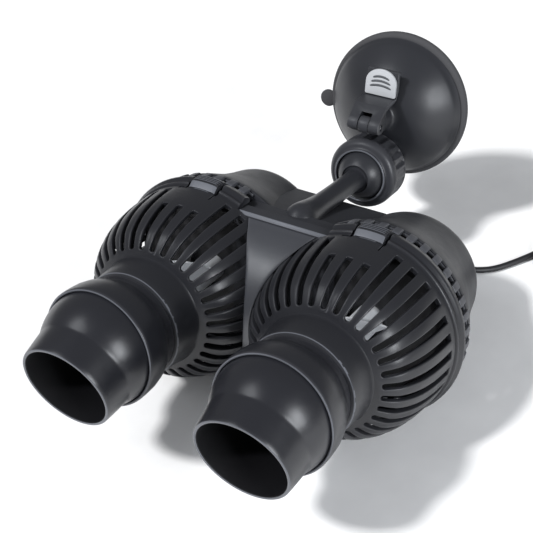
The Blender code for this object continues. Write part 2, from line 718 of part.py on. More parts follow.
def cup_stud(parent):
    """Stud moulded to a disc in the cup; the lever's pin passes through its eye."""
    centre = (0.0, CUP_Z)
    outline = [(82.6, 0.0), (82.6, 3.5), (104.8, 3.5), (104.8, 9.6), (107.2, 9.6), (107.2, 0.0)]
    stud = place("cup_stud", turned(outline, centre, 20), housing_plastic(),
                 origin=(0.0, PIN_Y, PIN_Z), parent=parent)
    eye = prism(arc(PIN_Y, PIN_Z, CAM_R - 0.5, 0, 345, 23), -EYE_HALF_W, EYE_HALF_W)
    boolean(stud, cutter("add_eye", eye, parent), "UNION")
    neck = block((-EYE_HALF_W, EYE_HALF_W), (PIN_Y, 84.0), (CUP_Z - 2.6, CUP_Z + 2.6))
    boolean(stud, cutter("add_eye_neck", neck, parent), "UNION")
    hole = prism(arc(PIN_Y, PIN_Z, 1.25, 0, 345, 15), -9.0, 9.0)
    boolean(stud, cutter("cut_eye_hole", hole, parent))
    return stud


def cam_lever(parent):
    """Two cam cheeks joined by a bridge and the blade that carries the grip."""
    side_view = arc(PIN_Y, PIN_Z, CAM_R, 120, 180, 3)
    for k in range(1, 13):
        turn = math.radians(180 + 15 * k)
        r = CAM_R - CAM_RISE * (1 - abs(k - 6) / 6)
        side_view.append((PIN_Y + r * math.cos(turn), PIN_Z + r * math.sin(turn)))
    side_view += [
        (82.0, 66.2), (91.0, 67.8), (92.6, 68.6), (93.3, 70.5), (94.3, 73.5), (94.3, 82.4),
        (91.9, 82.4), (91.9, 69.6), (88.0, 69.6), (80.2, 68.6),
    ]
    lever = place("cam_lever", prism(side_view, -LEVER_HALF_W, LEVER_HALF_W), housing_plastic(),
                  origin=(0.0, PIN_Y, PIN_Z), parent=parent)
    notch = block((-EYE_HALF_W - GAP, EYE_HALF_W + GAP), (60.0, 87.2), (40.0, PIN_Z + 6.2))
    boolean(lever, cutter("cut_lever_notch", notch, parent))
    hole = prism(arc(PIN_Y, PIN_Z, 1.5, 0, 345, 15), -9.0, 9.0)
    boolean(lever, cutter("cut_lever_hole", hole, parent))
    return lever


def lever_grip(parent):
    """Pale pad on the lever's blade, with three ribs across it."""
    outline = [(-8.0, 70.0), (8.0, 70.0), (8.0, 76.5)]
    outline += [(8.0 * math.cos(a), 76.5 + 6.6 * math.sin(a))
                for a in [math.pi * k / 10 for k in range(1, 10)]]
    outline += [(-8.0, 76.5)]
    bm = prism(outline, 90.0, 91.55, axis="y")
    grip = place("lever_grip", bm, grip_plastic(), origin=(0.0, PIN_Y, PIN_Z), parent=parent)
    for z in (73.0, 76.0, 79.0):
        rib = block((-5.0, 5.0), (89.0, 90.5), (z - 0.45, z + 0.45))
        boolean(grip, cutter("cut_grip_%d" % z, rib, parent))
    return grip


def lever_pin(parent):
    pin = prism(arc(PIN_Y, PIN_Z, 0.95, 0, 345, 15), -LEVER_HALF_W + 0.4, LEVER_HALF_W - 0.4)
    return place("lever_pin", pin, pin_steel(), origin=(0.0, PIN_Y, PIN_Z), parent=parent)


# ---------------------------------------------------------------- cord
def cord_gland(parent):
    """Tapered strain relief in the back of the right motor shell."""
    outline = [
        (52.0, 0.0), (52.0, 3.0), (62.8, 3.0), (62.8, 5.0), (64.4, 5.0), (65.0, 3.7),
        (GLAND_END_Y, CORD_R + 0.5), (GLAND_END_Y, 0.0),
    ]
    gland = turned(outline, (GLAND_X, GLAND_Z), 16)
    return place("cord_gland", gland, seal_rubber(), parent=parent)


def smooth_route(points, spacing):
    """Points about `spacing` apart on a Catmull-Rom curve through the route's own points."""
    ends = [points[0] * 2 - points[1]] + list(points) + [points[-1] * 2 - points[-2]]
    dense = []
    for p0, p1, p2, p3 in zip(ends, ends[1:], ends[2:], ends[3:]):
        steps = 24
        for k in range(steps):
            t = k / steps
            a = 2 * p1 + (p2 - p0) * t
            b = (2 * p0 - 5 * p1 + 4 * p2 - p3) * t ** 2
            c = (3 * p1 - p0 - 3 * p2 + p3) * t ** 3
            dense.append((a + b + c) / 2)
    dense.append(points[-1])
    travelled = [0.0]
    for a, b in zip(dense, dense[1:]):
        travelled.append(travelled[-1] + (b - a).length)
    count = max(2, round(travelled[-1] / spacing))
    out = []
    k = 0
    for i in range(count + 1):
        target = travelled[-1] * i / count
        while k < len(dense) - 2 and travelled[k + 1] < target:
            k += 1
        span = travelled[k + 1] - travelled[k]
        out.append(dense[k].lerp(dense[k + 1], (target - travelled[k]) / span))
    return out


def tube(name, route):
    """A cord's free stretch as a bevelled line through the route, in world millimetres."""
    points = smooth_route(route, 2.6 * 2 * CORD_R)
    curve = bpy.data.curves.new(name, "CURVE")
    curve.dimensions = "3D"
    curve.bevel_depth = CORD_R * MM
    curve.bevel_resolution = 2
    curve.use_fill_caps = True
    curve.materials.append(cord_rubber())
    spline = curve.splines.new("POLY")
    spline.points.add(len(points) - 1)
    for point, spot in zip(spline.points, points):
        point.co = (*(spot * MM), 1.0)
    cord = bpy.data.objects.new(name, curve)
    bpy.context.scene.collection.objects.link(cord)
    return cord


def beside_coil(heading, way, z):
    """Where a cord on the outer turn's tangent is just clear of the coil: way -1 arrives, +1 leaves."""
    turn_r = COIL_MEAN_R + COIL_HALF_W - CORD_R
    run = math.sqrt((COIL_MEAN_R + COIL_HALF_W + GAP) ** 2 - (turn_r - CORD_R) ** 2)
    a = math.radians(heading)
    x = COIL_CENTRE[0] - turn_r * math.sin(a) + way * run * math.cos(a)
    y = COIL_CENTRE[1] + turn_r * math.cos(a) + way * run * math.sin(a)
    return Vector((x, y, z))


def power_cord(frame):
    """The stretch from the gland's tip down to the floor and along it to the coil."""
    tip = frame.matrix_world @ (Vector((GLAND_X, GLAND_END_Y, GLAND_Z)) * MM) / MM
    out = frame.matrix_world.to_3x3() @ Vector((0.0, 1.0, 0.0))
    start = tip + out * GAP
    route = [start, start + out * 5.4] + [Vector(p) for p in CORD_ROUTE]
    route.append(beside_coil(CORD_ARRIVES, -1, FLOOR_LIFT + CORD_R - 0.3))
    return tube("power_cord", route)


def cord_coil():
    low, high = FLOOR_LIFT, FLOOR_LIFT + COIL_HEIGHT
    inner, outer = COIL_MEAN_R - COIL_HALF_W, COIL_MEAN_R + COIL_HALF_W
    edge = 0.9
    outline = [
        (low, inner + edge), (low, outer - edge), (low + edge, outer), (high - edge, outer),
        (high, outer - edge), (high, inner + edge), (high - edge, inner), (low + edge, inner),
    ]
    bm = bmesh.new()
    rings = []
    for z, r in outline:
        ring = []
        for k in range(24):
            a = 2 * math.pi * k / 24
            ring.append(bm.verts.new((COIL_CENTRE[0] + r * math.cos(a), COIL_CENTRE[1] + r * math.sin(a), z)))
        rings.append(ring)
    for one, other in zip(rings, rings[1:] + rings[:1]):
        skin(bm, one, other)
    return place("cord_coil", bm, cord_rubber())


def cord_tie():
    """Band round the coil's bundle of turns."""
    x, y = COIL_CENTRE
    half = 2.6
    near = COIL_MEAN_R + COIL_HALF_W + 0.3
    far = math.sqrt((COIL_MEAN_R - COIL_HALF_W) ** 2 - half ** 2) - 0.4
    top = FLOOR_LIFT + COIL_HEIGHT + 0.3
    band = block((x - half, x + half), (y - near - TIE_WALL, y - far + TIE_WALL), (0.0, top + TIE_WALL))
    tie = place("cord_tie", band, grip_plastic())
    hole = block((x - 9.0, x + 9.0), (y - near, y - far), (TIE_WALL, top))
    boolean(tie, cutter("cut_tie", hole, None))
    return tie


def plug_body():
    """Flat two-pin plug with a tapered neck."""
    x, y, z = PLUG_AT
    front = y - PLUG_NECK - PLUG_LENGTH
    half = [(front, 11.0), (front + 1.6, PLUG_HALF_W), (front + 18.0, 11.4), (y - PLUG_NECK - 2.0, 6.4)]
    half.append((y - PLUG_NECK, 5.0))
    outline = [(x + w, at) for at, w in half] + [(x - w, at) for at, w in reversed(half)]
    body = place("plug_body", prism(outline, 0.0, 2 * z, "z"), cord_rubber())
    neck = [
        (y - 18.5, 0.0), (y - 18.5, 4.6), (y - PLUG_NECK, 4.6), (y - 0.7, CORD_R + 0.5), (y - 0.7, 0.0),
    ]
    boolean(body, cutter("add_plug_neck", turned(neck, (x, z), 16), None), "UNION")
    for side, sign in SIDES:
        bore = PIN_R + GAP
        hole = [(front - 5.0, 0.0), (front - 5.0, bore), (front + 5.0, bore), (front + 5.0, 0.0)]
        where = (x + sign * PIN_SPREAD, z)
        boolean(body, cutter("cut_pin_hole_" + side, turned(hole, where, 14), None))
    return body


def plug_pins():
    x, y, z = PLUG_AT
    front = y - PLUG_NECK - PLUG_LENGTH
    for side, sign in SIDES:
        outline = [
            (front - PIN_LENGTH, 0.0), (front - PIN_LENGTH, PIN_R - 0.7),
            (front - PIN_LENGTH + 1.0, PIN_R), (front + 4.6, PIN_R), (front + 4.6, 0.0),
        ]
        pin = turned(outline, (x + sign * PIN_SPREAD, z), 14)
        place(side + "_plug_pin", pin, plug_brass())


def cord_tail():
    """The short end from the coil to the plug."""
    start = beside_coil(CORD_LEAVES, 1, FLOOR_LIFT + COIL_HEIGHT - CORD_R)
    route = [start] + [Vector(p) for p in TAIL_ROUTE] + [Vector(PLUG_AT)]
    return tube("cord_tail", route)


def build_pump(frame):
    twin_housing(frame)
    centre_cover(frame)
    for side, sign in SIDES:
        strainer_cage(side, sign, frame)
        intake_ring(side, sign, frame)
        outlet_socket(side, sign, frame)
        ball_nozzle(side, sign, frame)
        shaft_spider(side, sign, frame)
        propeller(side, sign, frame)
        drive_train(side, sign, frame)
        rotor_can(side, sign, frame)
        stator(side, sign, frame)
    swivel_arm(frame)
    rear_seat(frame)
    front_seat(frame)
    clamp_nut(frame)
    cup_cover(frame)
    suction_cup(frame)
    cup_stud(frame)
    cam_lever(frame)
    lever_grip(frame)
    lever_pin(frame)
    cord_gland(frame)


def rest_on_floor(frame):
    """Tip the pump and put the bottom centre of its box at the world's origin."""
    frame.rotation_euler = (-math.radians(PITCH), 0.0, 0.0)
    bpy.context.view_layer.update()
    lows, highs = [math.inf] * 3, [-math.inf] * 3
    graph = bpy.context.evaluated_depsgraph_get()
    for obj in frame.children:
        if obj.hide_render:
            continue
        seen = obj.evaluated_get(graph)
        for vert in seen.data.vertices:
            at = obj.matrix_world @ vert.co
            lows = [min(a, b) for a, b in zip(lows, at)]
            highs = [max(a, b) for a, b in zip(highs, at)]
    frame.location = (-(lows[0] + highs[0]) / 2, -(lows[1] + highs[1]) / 2, -lows[2])
    bpy.context.view_layer.update()


def main():
    clear_scene()
    frame = bpy.data.objects.new("pump_frame", None)
    bpy.context.scene.collection.objects.link(frame)
    build_pump(frame)
    rest_on_floor(frame)
    power_cord(frame)
    cord_coil()
    cord_tie()
    cord_tail()
    plug_body()
    plug_pins()


main()
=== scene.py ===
"""Looks of a submersible twin-head aquarium circulation pump on a ball-jointed suction cup.

Shapes are drawn in millimetres in the pump frame (X across the two heads, -Y the way the water
leaves, Z up), and PUMP turns them into the row frame in metres.  A revolved outline is a list of
(y, radius) points.  The cord is drawn in the row frame, in millimetres.
"""
import math

import bmesh
import bpy
from mathutils import Matrix, Vector


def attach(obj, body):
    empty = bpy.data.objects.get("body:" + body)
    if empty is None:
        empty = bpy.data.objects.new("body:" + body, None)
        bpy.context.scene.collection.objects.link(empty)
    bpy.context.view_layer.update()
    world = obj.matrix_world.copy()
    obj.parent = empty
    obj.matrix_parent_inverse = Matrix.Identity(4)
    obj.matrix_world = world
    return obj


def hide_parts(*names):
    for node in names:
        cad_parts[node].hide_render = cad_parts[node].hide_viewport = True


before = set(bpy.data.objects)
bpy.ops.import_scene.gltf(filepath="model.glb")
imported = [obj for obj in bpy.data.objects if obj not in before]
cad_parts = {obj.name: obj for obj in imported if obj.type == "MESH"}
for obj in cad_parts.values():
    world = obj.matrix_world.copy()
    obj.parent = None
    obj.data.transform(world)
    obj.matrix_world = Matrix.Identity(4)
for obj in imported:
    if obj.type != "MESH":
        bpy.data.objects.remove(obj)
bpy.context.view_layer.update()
SIDES = (("left", -1), ("right", 1))
MM = 0.001

# a line that touches the cage rims and the rear ends of the shells lies level, so the nose is up
RIM_Y, RIM_R = 3.0, 46.0
REAR_Y, REAR_R = 57.0, 31.6
PITCH = math.atan2(RIM_R - REAR_R, REAR_Y - RIM_Y)
PUMP = (Matrix.Translation((0.0, -0.019024, 0.045896)) @ Matrix.Rotation(-PITCH, 4, "X")
        @ Matrix.Scale(MM, 4))

HEAD_X = 41.0               # from the middle to a head's axis
ARM_AXIS = (0.0, 33.0)      # x and z of the arm, its ball and the clamp nut
CUP_AXIS = (0.0, 58.5)      # x and z of the suction cup
CORD_EXIT = Vector((44.0, 85.0, -13.0))     # tip of the strain relief


# ---------------------------------------------------------------- camera, floor and lights
def camera():
    data = bpy.data.cameras.new("photo_camera")
    data.lens = 73.83
    data.sensor_width = 36.0
    data.clip_end = 20.0
    obj = bpy.data.objects.new("photo_camera", data)
    right = Vector((0.86377, 0.49745, -0.08023))
    up = Vector((-0.27847, 0.60399, 0.74676))
    back = Vector((0.41994, -0.62269, 0.66023))
    turn = Matrix((right, up, back)).transposed().to_4x4()
    obj.matrix_world = Matrix.Translation((0.19749, -0.319515, 0.381627)) @ turn
    bpy.context.scene.collection.objects.link(obj)
    bpy.context.scene.camera = obj


def facing(way):
    """The turn that makes a light placed along this direction shine back down it."""
    return way.to_track_quat("Z", "Y").to_matrix().to_4x4()


def softbox(name, towards, distance, size, power):
    data = bpy.data.lights.new(name, "AREA")
    data.shape = "RECTANGLE"
    data.size, data.size_y = size
    data.energy = power
    data.color = (0.93, 0.96, 1.0)
    obj = bpy.data.objects.new(name, data)
    way = Vector(towards).normalized()
    pump_middle = Vector((0.0, 0.0, 0.05))
    obj.matrix_world = Matrix.Translation(pump_middle + way * distance) @ facing(way)
    bpy.context.scene.collection.objects.link(obj)


def studio():
    world = bpy.data.worlds.new("studio")
    bpy.context.scene.world = world
    world.use_nodes = True
    nodes, links = world.node_tree.nodes, world.node_tree.links
    nodes["Background"].inputs["Color"].default_value = (0.97, 0.98, 1.0, 1.0)
    # the backdrop is white where it is looked at, and lights the pump only softly
    seen = nodes.new("ShaderNodeLightPath")
    strength = nodes.new("ShaderNodeMapRange")
    strength.inputs["To Min"].default_value = 0.22
    strength.inputs["To Max"].default_value = 1.0
    links.new(seen.outputs["Is Camera Ray"], strength.inputs["Value"])
    links.new(strength.outputs["Result"], nodes["Background"].inputs["Strength"])
    bpy.context.scene.view_settings.view_transform = "Standard"

    # the key gives shadows and shading, the softboxes give the highlights
    data = bpy.data.lights.new("key", "SUN")
    data.energy = 3.1
    data.angle = math.radians(6.0)
    key = bpy.data.objects.new("key", data)
    key.matrix_world = facing(Vector((-0.42, -0.62, 0.92)))
    key.visible_glossy = False
    bpy.context.scene.collection.objects.link(key)
    softbox("key_sheen", (-0.43, -0.40, 0.84), 0.9, (0.38, 0.32), 1.9)
    softbox("right_fill", (0.86, -0.34, 0.42), 0.8, (0.26, 0.38), 4.4)

    bm = bmesh.new()
    bmesh.ops.create_grid(bm, x_segments=4, y_segments=4, size=3.0)
    mesh = bpy.data.meshes.new("floor")
    bm.to_mesh(mesh)
    bm.free()
    floor = bpy.data.objects.new("floor", mesh)
    mesh.materials.append(finish("floor_paint"))
    bpy.context.scene.collection.objects.link(floor)


# ---------------------------------------------------------------- materials
# colour, roughness, and what differs from PLAIN
PLAIN = {"metallic": 0.0, "grain": 2600.0, "bump": 0.12, "mottle": 0.10, "edge_highlight": 0.0, "coat": 0.0,
         "ior": 1.46}
FINISHES = {
    "floor_paint": ((0.93, 0.93, 0.935), 0.65, {"grain": 120.0, "bump": 0.02}),
    "housing_plastic": ((0.021, 0.022, 0.026), 0.36, {"edge_highlight": 0.55}),
    # painted shade: the housing plastic darkened for the cage
    "shaded_cage_plastic": ((0.013, 0.0135, 0.0165), 0.35, {"edge_highlight": 0.6}),
    # painted light: the housing plastic made lighter for the lugs, which face the lamps
    "lit_lug_plastic": ((0.050, 0.052, 0.060), 0.42, {"edge_highlight": 0.3}),
    # painted highlight: a lighter plastic for lit edges, lips and faces
    "highlight_plastic": ((0.095, 0.100, 0.115), 0.36, {"mottle": 0.3}),
    "nut_plastic": ((0.030, 0.031, 0.036), 0.36, {"edge_highlight": 0.6}),
    # painted shade: a near-black plastic for the insides of the nozzle bores
    "bore_shade_plastic": ((0.006, 0.006, 0.007), 0.60, {"ior": 1.35}),
    "deck_plastic": ((0.020, 0.021, 0.025), 0.66, {"edge_highlight": 0.4, "ior": 1.30}),
    "shell_plastic": ((0.020, 0.021, 0.025), 0.46, {"edge_highlight": 0.4, "ior": 1.40}),
    "cover_plastic": ((0.034, 0.036, 0.043), 0.40, {"edge_highlight": 0.55, "ior": 1.80}),
    "nozzle_plastic": ((0.014, 0.0145, 0.018), 0.31,
                       {"grain": 3200.0, "bump": 0.06, "edge_highlight": 0.75}),
    "cup_plastic": ((0.020, 0.021, 0.025), 0.36, {"grain": 3200.0, "bump": 0.05, "edge_highlight": 0.25}),
    "inner_plastic": ((0.016, 0.016, 0.018), 0.50, {"bump": 0.16}),
    "impeller_plastic": ((0.80, 0.82, 0.86), 0.42, {"mottle": 0.04, "bump": 0.06}),
    "grip_plastic": ((0.42, 0.43, 0.45), 0.50, {"mottle": 0.05, "bump": 0.10}),
    "bar_rubber": ((0.075, 0.078, 0.086), 0.60, {"grain": 2200.0, "bump": 0.25}),
    "liner_plastic": ((0.26, 0.27, 0.28), 0.42, {"bump": 0.08}),
    "cup_rubber": ((0.009, 0.009, 0.010), 0.42, {"grain": 1800.0, "bump": 0.05, "ior": 1.40}),
    "seal_rubber": ((0.024, 0.024, 0.026), 0.62, {"grain": 2200.0, "bump": 0.18}),
    "cord_rubber": ((0.016, 0.016, 0.018), 0.45, {"grain": 1500.0, "bump": 0.10}),
    "magnet_ferrite": ((0.070, 0.070, 0.075), 0.62,
                       {"metallic": 0.15, "grain": 3600.0, "bump": 0.30}),
    "shaft_ceramic": ((0.82, 0.81, 0.77), 0.22, {"mottle": 0.03, "bump": 0.02, "coat": 0.2}),
    "stator_potting": ((0.022, 0.022, 0.024), 0.40, {"grain": 700.0, "bump": 0.20}),
    "pin_steel": ((0.62, 0.63, 0.65), 0.26, {"metallic": 1.0, "mottle": 0.05, "bump": 0.05}),
    "plug_metal": ((0.70, 0.70, 0.69), 0.22, {"metallic": 1.0, "mottle": 0.05, "bump": 0.04}),
}
ROUGH_SPREAD = 0.06         # how far roughness wanders either side of its middle
# convex edges, found by pointiness, are painted lighter as highlights
EDGE_HIGHLIGHT_GAIN, EDGE_HIGHLIGHT_LIFT = 2.6, 0.05
EDGE_HIGHLIGHT_FROM, EDGE_HIGHLIGHT_TO = 0.52, 0.62


def shade(colour, gain, lift=0.0):
    return (*[min(1.0, c * gain + lift) for c in colour], 1.0)


def finish(name):
    """The named finish: grain in the bump, soft mottling in colour and roughness, and convex edges
    painted lighter as highlights.
    """
    mat = bpy.data.materials.get(name)
    if mat:
        return mat
    colour, roughness, more = FINISHES[name]
    look = {**PLAIN, **more}
    mat = bpy.data.materials.new(name)
    mat.use_nodes = True
    nodes, links = mat.node_tree.nodes, mat.node_tree.links
    shader = nodes["Principled BSDF"]
    shader.inputs["Metallic"].default_value = look["metallic"]
    shader.inputs["IOR"].default_value = look["ior"]
    shader.inputs["Coat Weight"].default_value = look["coat"]
    shader.inputs["Coat Roughness"].default_value = 0.25
    place = nodes.new("ShaderNodeTexCoord")

    def noise(scale, detail):
        node = nodes.new("ShaderNodeTexNoise")
        node.inputs["Scale"].default_value = scale
        node.inputs["Detail"].default_value = detail
        links.new(place.outputs["Object"], node.inputs["Vector"])
        return node

    broad = noise(38.0, 3.0)
    tint = nodes.new("ShaderNodeMix")
    tint.data_type = "RGBA"
    links.new(broad.outputs["Fac"], tint.inputs["Factor"])
    tint.inputs["A"].default_value = shade(colour, 1 - look["mottle"])
    tint.inputs["B"].default_value = shade(colour, 1 + look["mottle"])
    last = tint.outputs["Result"]
    # painted highlight: convex edges are lightened towards a brighter copy of the colour
    if look["edge_highlight"]:
        edges = nodes.new("ShaderNodeNewGeometry")
        ramp = nodes.new("ShaderNodeMapRange")
        ramp.inputs["From Min"].default_value = EDGE_HIGHLIGHT_FROM
        ramp.inputs["From Max"].default_value = EDGE_HIGHLIGHT_TO
        ramp.inputs["To Max"].default_value = look["edge_highlight"]
        links.new(edges.outputs["Pointiness"], ramp.inputs["Value"])
        edge_highlight_mix = nodes.new("ShaderNodeMix")
        edge_highlight_mix.data_type = "RGBA"
        links.new(ramp.outputs["Result"], edge_highlight_mix.inputs["Factor"])
        links.new(last, edge_highlight_mix.inputs["A"])
        edge_highlight_mix.inputs["B"].default_value = shade(colour, EDGE_HIGHLIGHT_GAIN, EDGE_HIGHLIGHT_LIFT)
        last = edge_highlight_mix.outputs["Result"]
    links.new(last, shader.inputs["Base Color"])
    patch = noise(210.0, 4.0)
    rough = nodes.new("ShaderNodeMapRange")
    rough.inputs["To Min"].default_value = max(0.05, roughness - ROUGH_SPREAD)
    rough.inputs["To Max"].default_value = min(1.0, roughness + ROUGH_SPREAD)
    links.new(patch.outputs["Fac"], rough.inputs["Value"])
    links.new(rough.outputs["Result"], shader.inputs["Roughness"])
    fine = noise(look["grain"], 3.0)
    relief = nodes.new("ShaderNodeBump")
    relief.inputs["Strength"].default_value = look["bump"]
    relief.inputs["Distance"].default_value = 0.0002
    links.new(fine.outputs["Fac"], relief.inputs["Height"])
    links.new(relief.outputs["Normal"], shader.inputs["Normal"])
    return mat


# ---------------------------------------------------------------- modelling helpers
# zones: a lighter plastic as painted highlight on lit edges and faces, a near-black plastic as
# painted shade inside bores
OWN, PAINTED_HIGHLIGHT, SHADED_BORE = 0, 1, 2      # a face's material where a piece has zones


def add_piece(name, bm, paint, body, nodes=(), matrix=PUMP, sharp=35.0, zone=None):
    """Makes bm a piece.  zone(face centre in pump millimetres) picks each face's material: its own
    paint, a lighter plastic as painted highlight, or a near-black plastic as painted shade.
    """
    bmesh.ops.recalc_face_normals(bm, faces=bm.faces)
    if zone:
        for face in bm.faces:
            face.material_index = int(zone(face.calc_center_median()))
    mesh = bpy.data.meshes.new(name)
    bm.to_mesh(mesh)
    bm.free()
    mesh.transform(matrix)
    mesh.shade_smooth()
    mesh.set_sharp_from_angle(angle=math.radians(sharp))
    mesh.materials.append(finish(paint))
    if zone:
        # a lighter plastic for painted highlight, then a near-black one for painted shade
        mesh.materials.append(finish("highlight_plastic"))
        mesh.materials.append(finish("bore_shade_plastic"))
    obj = bpy.data.objects.new(name, mesh)
    bpy.context.scene.collection.objects.link(obj)
    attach(obj, body)
    if nodes:
        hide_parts(*nodes)
    return obj


def rounded(points, radius, steps=3):
    """The closed outline with its corners rounded.  A point's third number is its own radius."""
    out = []
    straight = math.radians(164)
    for k, point in enumerate(points):
        here = Vector(point[:2])
        before = Vector(points[k - 1][:2]) - here
        after = Vector(points[(k + 1) % len(points)][:2]) - here
        if before.length < 1e-6 or after.length < 1e-6 or before.angle(after) > straight:
            out.append(tuple(here))
            continue
        wanted = point[2] if len(point) > 2 else radius
        reach = wanted / max(math.tan(before.angle(after) / 2), 0.2)
        reach = min(reach, before.length * 0.45, after.length * 0.45)
        a = here + before.normalized() * reach
        b = here + after.normalized() * reach
        for i in range(steps + 1):
            t = i / steps
            out.append(tuple(a * (1 - t) ** 2 + here * 2 * t * (1 - t) + b * t ** 2))
    return out


def sphere_line(cy, radius, y0, y1, steps):
    """A sphere's outline between two values of y."""
    a0 = math.acos((y0 - cy) / radius)
    a1 = math.acos((y1 - cy) / radius)
    spread = [a0 + (a1 - a0) * k / steps for k in range(steps + 1)]
    return [(cy + radius * math.cos(a), radius * math.sin(a)) for a in spread]


def flow(points, steps):
    """A smooth line through the points, two or three coordinates each."""
    dots = [Vector(p) for p in points]
    ends = [dots[0] * 2 - dots[1]] + dots + [dots[-1] * 2 - dots[-2]]
    out = []
    for p0, p1, p2, p3 in zip(ends, ends[1:], ends[2:], ends[3:]):
        for k in range(steps):
            t = k / steps
            b = (2 * p0 - 5 * p1 + 4 * p2 - p3) * t ** 2
            c = (3 * p1 - p0 - 3 * p2 + p3) * t ** 3
            out.append((2 * p1 + (p2 - p0) * t + b + c) / 2)
    out.append(dots[-1])
    return out


def join_loops(bm, low, high, wrap=True):
    """Faces between two rows of vertices, with doubled corners left out."""
    count = len(low)
    for k in range(count if wrap else count - 1):
        d = (k + 1) % count
        corner = list(dict.fromkeys([low[k], low[d], high[d], high[k]]))
        if len(corner) > 2:
            bm.faces.new(corner)


def skin_loops(bm, loops):
    """A tube through the loops, closed at both ends."""
    for low, high in zip(loops, loops[1:]):
        join_loops(bm, low, high)
    bm.faces.new(loops[0])
    bm.faces.new(loops[-1])


def revolve(bm, profile, centre=(0.0, 0.0), angles=None, segments=96, closed=True,
            radius_at=None):
    """Turn (y, r) points about a Y axis through centre = (x, z)."""
    cx, cz = centre
    angles = angles or [2 * math.pi * k / segments for k in range(segments)]
    rings = []
    for y, r in profile:
        if r < 1e-4:
            rings.append([bm.verts.new((cx, y, cz))] * len(angles))
            continue
        ring = []
        for a in angles:
            rr = radius_at(y, r, a) if radius_at else r
            ring.append(bm.verts.new((cx + rr * math.cos(a), y, cz + rr * math.sin(a))))
        rings.append(ring)
    pairs = list(zip(rings, rings[1:]))
    if closed:
        pairs.append((rings[-1], rings[0]))
    for low, high in pairs:
        join_loops(bm, low, high)


def turned(profile, centre=(0.0, 0.0), segments=96, radius=0.0, **more):
    bm = bmesh.new()
    profile = rounded(profile, radius) if radius else profile
    revolve(bm, profile, centre, segments=segments, **more)
    return bm


def prism(outline, low, high, axis="x", edge=0.4):
    """A rounded outline pushed along one axis, its end edges rounded by a small inset."""
    bm = bmesh.new()
    spot = "xyz".index(axis)
    around = list(zip(outline, outline[1:] + outline[:1]))
    area = sum(p[0] * q[1] - q[0] * p[1] for p, q in around)
    way = 1.0 if area > 0 else -1.0
    normals = []
    for k in range(len(outline)):
        a, b = Vector(outline[k - 1]), Vector(outline[(k + 1) % len(outline)])
        along = (b - a).normalized()
        normals.append(Vector((along.y, -along.x)) * way)
    loops = []
    for inset, d in ((edge, low), (edge * 0.3, low + edge * 0.3), (0.0, low + edge),
                     (0.0, high - edge), (edge * 0.3, high - edge * 0.3), (edge, high)):
        loop = []
        for point, normal in zip(outline, normals):
            flat = tuple(Vector(point) - normal * inset)
            loop.append(bm.verts.new((*flat[:spot], d, *flat[spot:])))
        loops.append(loop)
    skin_loops(bm, loops)
    return bm


def box_mesh(*spans):
    """A block between (low, high) in x, y and z."""
    bm = bmesh.new()
    bmesh.ops.create_cube(bm, size=1.0)
    for vert in bm.verts:
        vert.co = Vector([(low + high) / 2 + c * (high - low)
                          for (low, high), c in zip(spans, vert.co)])
    return bm


def temporary(bm):
    """bm as an object for modifiers, to be removed again."""
    mesh = bpy.data.meshes.new("work")
    bm.to_mesh(mesh)
    bm.free()
    obj = bpy.data.objects.new("work", mesh)
    bpy.context.scene.collection.objects.link(obj)
    return obj


def after_modifiers(obj):
    graph = bpy.context.evaluated_depsgraph_get()
    out = bmesh.new()
    out.from_mesh(obj.evaluated_get(graph).data)
    return out


def cut(bm, cutters):
    """bm with each cutter taken away."""
    bmesh.ops.recalc_face_normals(bm, faces=bm.faces)
    obj = temporary(bm)
    made = [obj]
    for k, tool in enumerate(cutters):
        bmesh.ops.recalc_face_normals(tool, faces=tool.faces)
        piece = temporary(tool)
        made.append(piece)
        mod = obj.modifiers.new("cut%d" % k, "BOOLEAN")
        mod.operation = "DIFFERENCE"
        mod.solver = "MANIFOLD"
        mod.object = piece
    out = after_modifiers(obj)
    for piece in made:
        bpy.data.objects.remove(piece, do_unlink=True)
    return out


def bevelled_copy(node, width, name, paint, body, segments=2):
    """The CAD node's shape with its moulded edges rounded.  width is in metres."""
    bm = bmesh.new()
    bm.from_mesh(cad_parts[node].data)
    bmesh.ops.remove_doubles(bm, verts=bm.verts, dist=1e-6)
    bmesh.ops.dissolve_limit(bm, angle_limit=math.radians(1.2), verts=bm.verts, edges=bm.edges)
    obj = temporary(bm)
    mod = obj.modifiers.new("edge", "BEVEL")
    mod.width = width
    mod.segments = segments
    mod.limit_method = "ANGLE"
    mod.angle_limit = math.radians(30.0)
    out = after_modifiers(obj)
    bpy.data.objects.remove(obj, do_unlink=True)
    return add_piece(name, out, paint, body, (node,), matrix=Matrix.Identity(4), sharp=40.0)


# ---------------------------------------------------------------- cord
CORD_R = 1.6
COIL_CENTRE = (106.2, 107.9)
COIL_RADII = (21.8, 18.6, 15.4)
COIL_LAYERS = (2.7, 5.9, 9.1, 12.3)
COIL_START, TRACK_CHANGE, CHANGE_SPAN = 145.0, -160.0, 100.0     # degrees round the coil
COIL_TURN = 85.0 + 360.0 * 11
COIL_STEP = 12.0
PLUG_AT = (144.5, 102.6, 6.8)


def coil_route():
    """Clockwise turns, outer to inner and back, a layer higher each time."""
    tracks = []
    for k, z in enumerate(COIL_LAYERS):
        radii = COIL_RADII if k % 2 == 0 else COIL_RADII[::-1]
        tracks += [(r, z) for r in radii]
    route = []
    for i in range(int(COIL_TURN / COIL_STEP) + 1):
        turned_by = i * COIL_STEP
        passed = (turned_by - (COIL_START - TRACK_CHANGE)) / 360.0
        track = max(0, min(len(tracks) - 1, math.floor(passed) + 1))
        r, z = tracks[track]
        inside = (passed - math.floor(passed)) * 360.0
        if track > 0 and inside < CHANGE_SPAN and passed >= 0:
            share = inside / CHANGE_SPAN
            share = share * share * (3 - 2 * share)
            r0, z0 = tracks[track - 1]
            r, z = r0 + (r - r0) * share, z0 + (z - z0) * share
        a = math.radians(COIL_START - turned_by)
        x, y = COIL_CENTRE
        route.append(Vector((x + r * math.cos(a), y + r * math.sin(a), z)))
    return route


